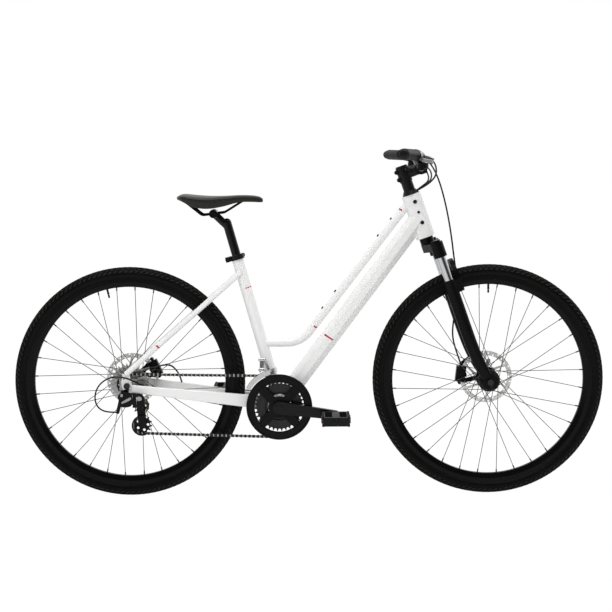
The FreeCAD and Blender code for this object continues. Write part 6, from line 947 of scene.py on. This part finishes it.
# Each station has its place along the saddle, then its half width and the depths of its top, edge and base.
SADDLE_SHAPE = (
    (0.0, 0.52, 0.16, 0.24, 0.34), (0.06, 0.88, 0.0, 0.22, 0.46), (0.20, 1.0, 0.06, 0.36, 0.86),
    (0.36, 0.92, 0.13, 0.46, 1.0), (0.54, 0.58, 0.13, 0.42, 0.86), (0.72, 0.34, 0.09, 0.34, 0.60),
    (0.88, 0.27, 0.13, 0.36, 0.58), (0.96, 0.22, 0.22, 0.42, 0.61), (1.0, 0.12, 0.37, 0.48, 0.60),
)
SADDLE_STATIONS = 36
STATION_CROWDING = 0.09
CROWN_ROUND = 0.72
CROWN_STEPS = (0.0, 0.05, 0.10, 0.135, 0.15, 0.165, 0.2, 0.27, 0.35, 0.43, 0.5)
SEAM_STEP = 0.15
SEAM_DEPTH = 0.0011
SEAM_FALL = 0.8
SEAM_LEAST_HALF = 0.02
DIP_DEPTH = 0.0022
DIP_MIDDLE, DIP_LENGTH = 0.45, 0.28
DIP_HALF = 0.013
# The skirt under the edge: the share of the half width, and how far down it is.
SKIRT = ((0.985, 0.34), (0.945, 0.72), (0.915, 0.93), (0.86, 1.0), (0.55, 1.0), (0.2, 0.97))
SKIRT_SEWN = 2
leatherette = finish(
    "leatherette", (0.0165, 0.0158, 0.0132), 0.08, (0.34, 0.44), grain=1300.0, bump=0.05, gloss=0.26, edge=0,
)
shell_black = finish(
    "shell_black", (0.0055, 0.0055, 0.0055), 0.2, (0.36, 0.5), grain=900.0, bump=0.1, gloss=0.18, edge=0,
)


def smooth_station(shape, along):
    """Values of a station between the given ones, on a curve through them."""
    for index in range(len(shape) - 1):
        start, end = shape[index], shape[index + 1]
        if along <= end[0] or index == len(shape) - 2:
            before = shape[max(0, index - 1)]
            after = shape[min(len(shape) - 1, index + 2)]
            part = (along - start[0]) / (end[0] - start[0])
            values = []
            for item in range(1, len(start)):
                span = end[0] - start[0]
                lean_in = (end[item] - before[item]) / (end[0] - before[0]) * span
                lean_out = (after[item] - start[item]) / (after[0] - start[0]) * span
                square, cube = part * part, part * part * part
                values.append(
                    (2 * cube - 3 * square + 1) * start[item] + (cube - 2 * square + part) * lean_in
                    + (3 * square - 2 * cube) * end[item] + (cube - square) * lean_out
                )
            return values
    return shape[-1][1:]


mesh = bmesh.new()
rings = []
steps = CROWN_STEPS + tuple(1 - step for step in CROWN_STEPS[-2::-1])
for station in range(SADDLE_STATIONS + 1):
    along = station / SADDLE_STATIONS
    along = along - STATION_CROWDING * math.sin(2 * math.pi * along) / (2 * math.pi) * 4
    half, top, edge, base = smooth_station(SADDLE_SHAPE, along)
    half, x = half * SADDLE_HALF, SADDLE_REAR + SADDLE_LENGTH * along
    top_z, edge_z, base_z = (SADDLE_TOP - SADDLE_DEPTH * share for share in (top, edge, base))
    dip = DIP_DEPTH * math.exp(-((along - DIP_MIDDLE) / DIP_LENGTH) ** 2)
    ring = []
    for step in steps:
        turn = math.pi * step
        y, rise = -half * math.cos(turn), math.sin(turn) ** CROWN_ROUND
        z = edge_z + (top_z - edge_z) * rise - dip * math.exp(-(y / DIP_HALF) ** 2)
        if min(abs(step - SEAM_STEP), abs(1 - step - SEAM_STEP)) < 0.001:
            y *= 1 - SEAM_DEPTH / max(half, SEAM_LEAST_HALF)
            z -= SEAM_DEPTH * SEAM_FALL
        ring.append(Vector((x, y, z)))
    for share, down in SKIRT:
        ring.append(Vector((x, half * share, edge_z + (base_z - edge_z) * down)))
    for share, down in SKIRT[::-1]:
        ring.append(Vector((x, -half * share, edge_z + (base_z - edge_z) * down)))
    rings.append(ring)
loft(mesh, rings)
shell_from, shell_to = len(steps) + SKIRT_SEWN, len(steps) + 2 * len(SKIRT) - SKIRT_SEWN
mesh.verts.index_update()
for face in mesh.faces:
    places = [vertex.index % len(rings[0]) for vertex in face.verts]
    if len(places) == 4 and min(places) >= shell_from and max(places) < shell_to:
        face.material_index = 1
saddle = piece("saddle_pad", mesh, (leatherette, shell_black), "seat")
skin = saddle.modifiers.new("stretched_cover", "SUBSURF")
skin.levels = skin.render_levels = 1
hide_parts("saddle")
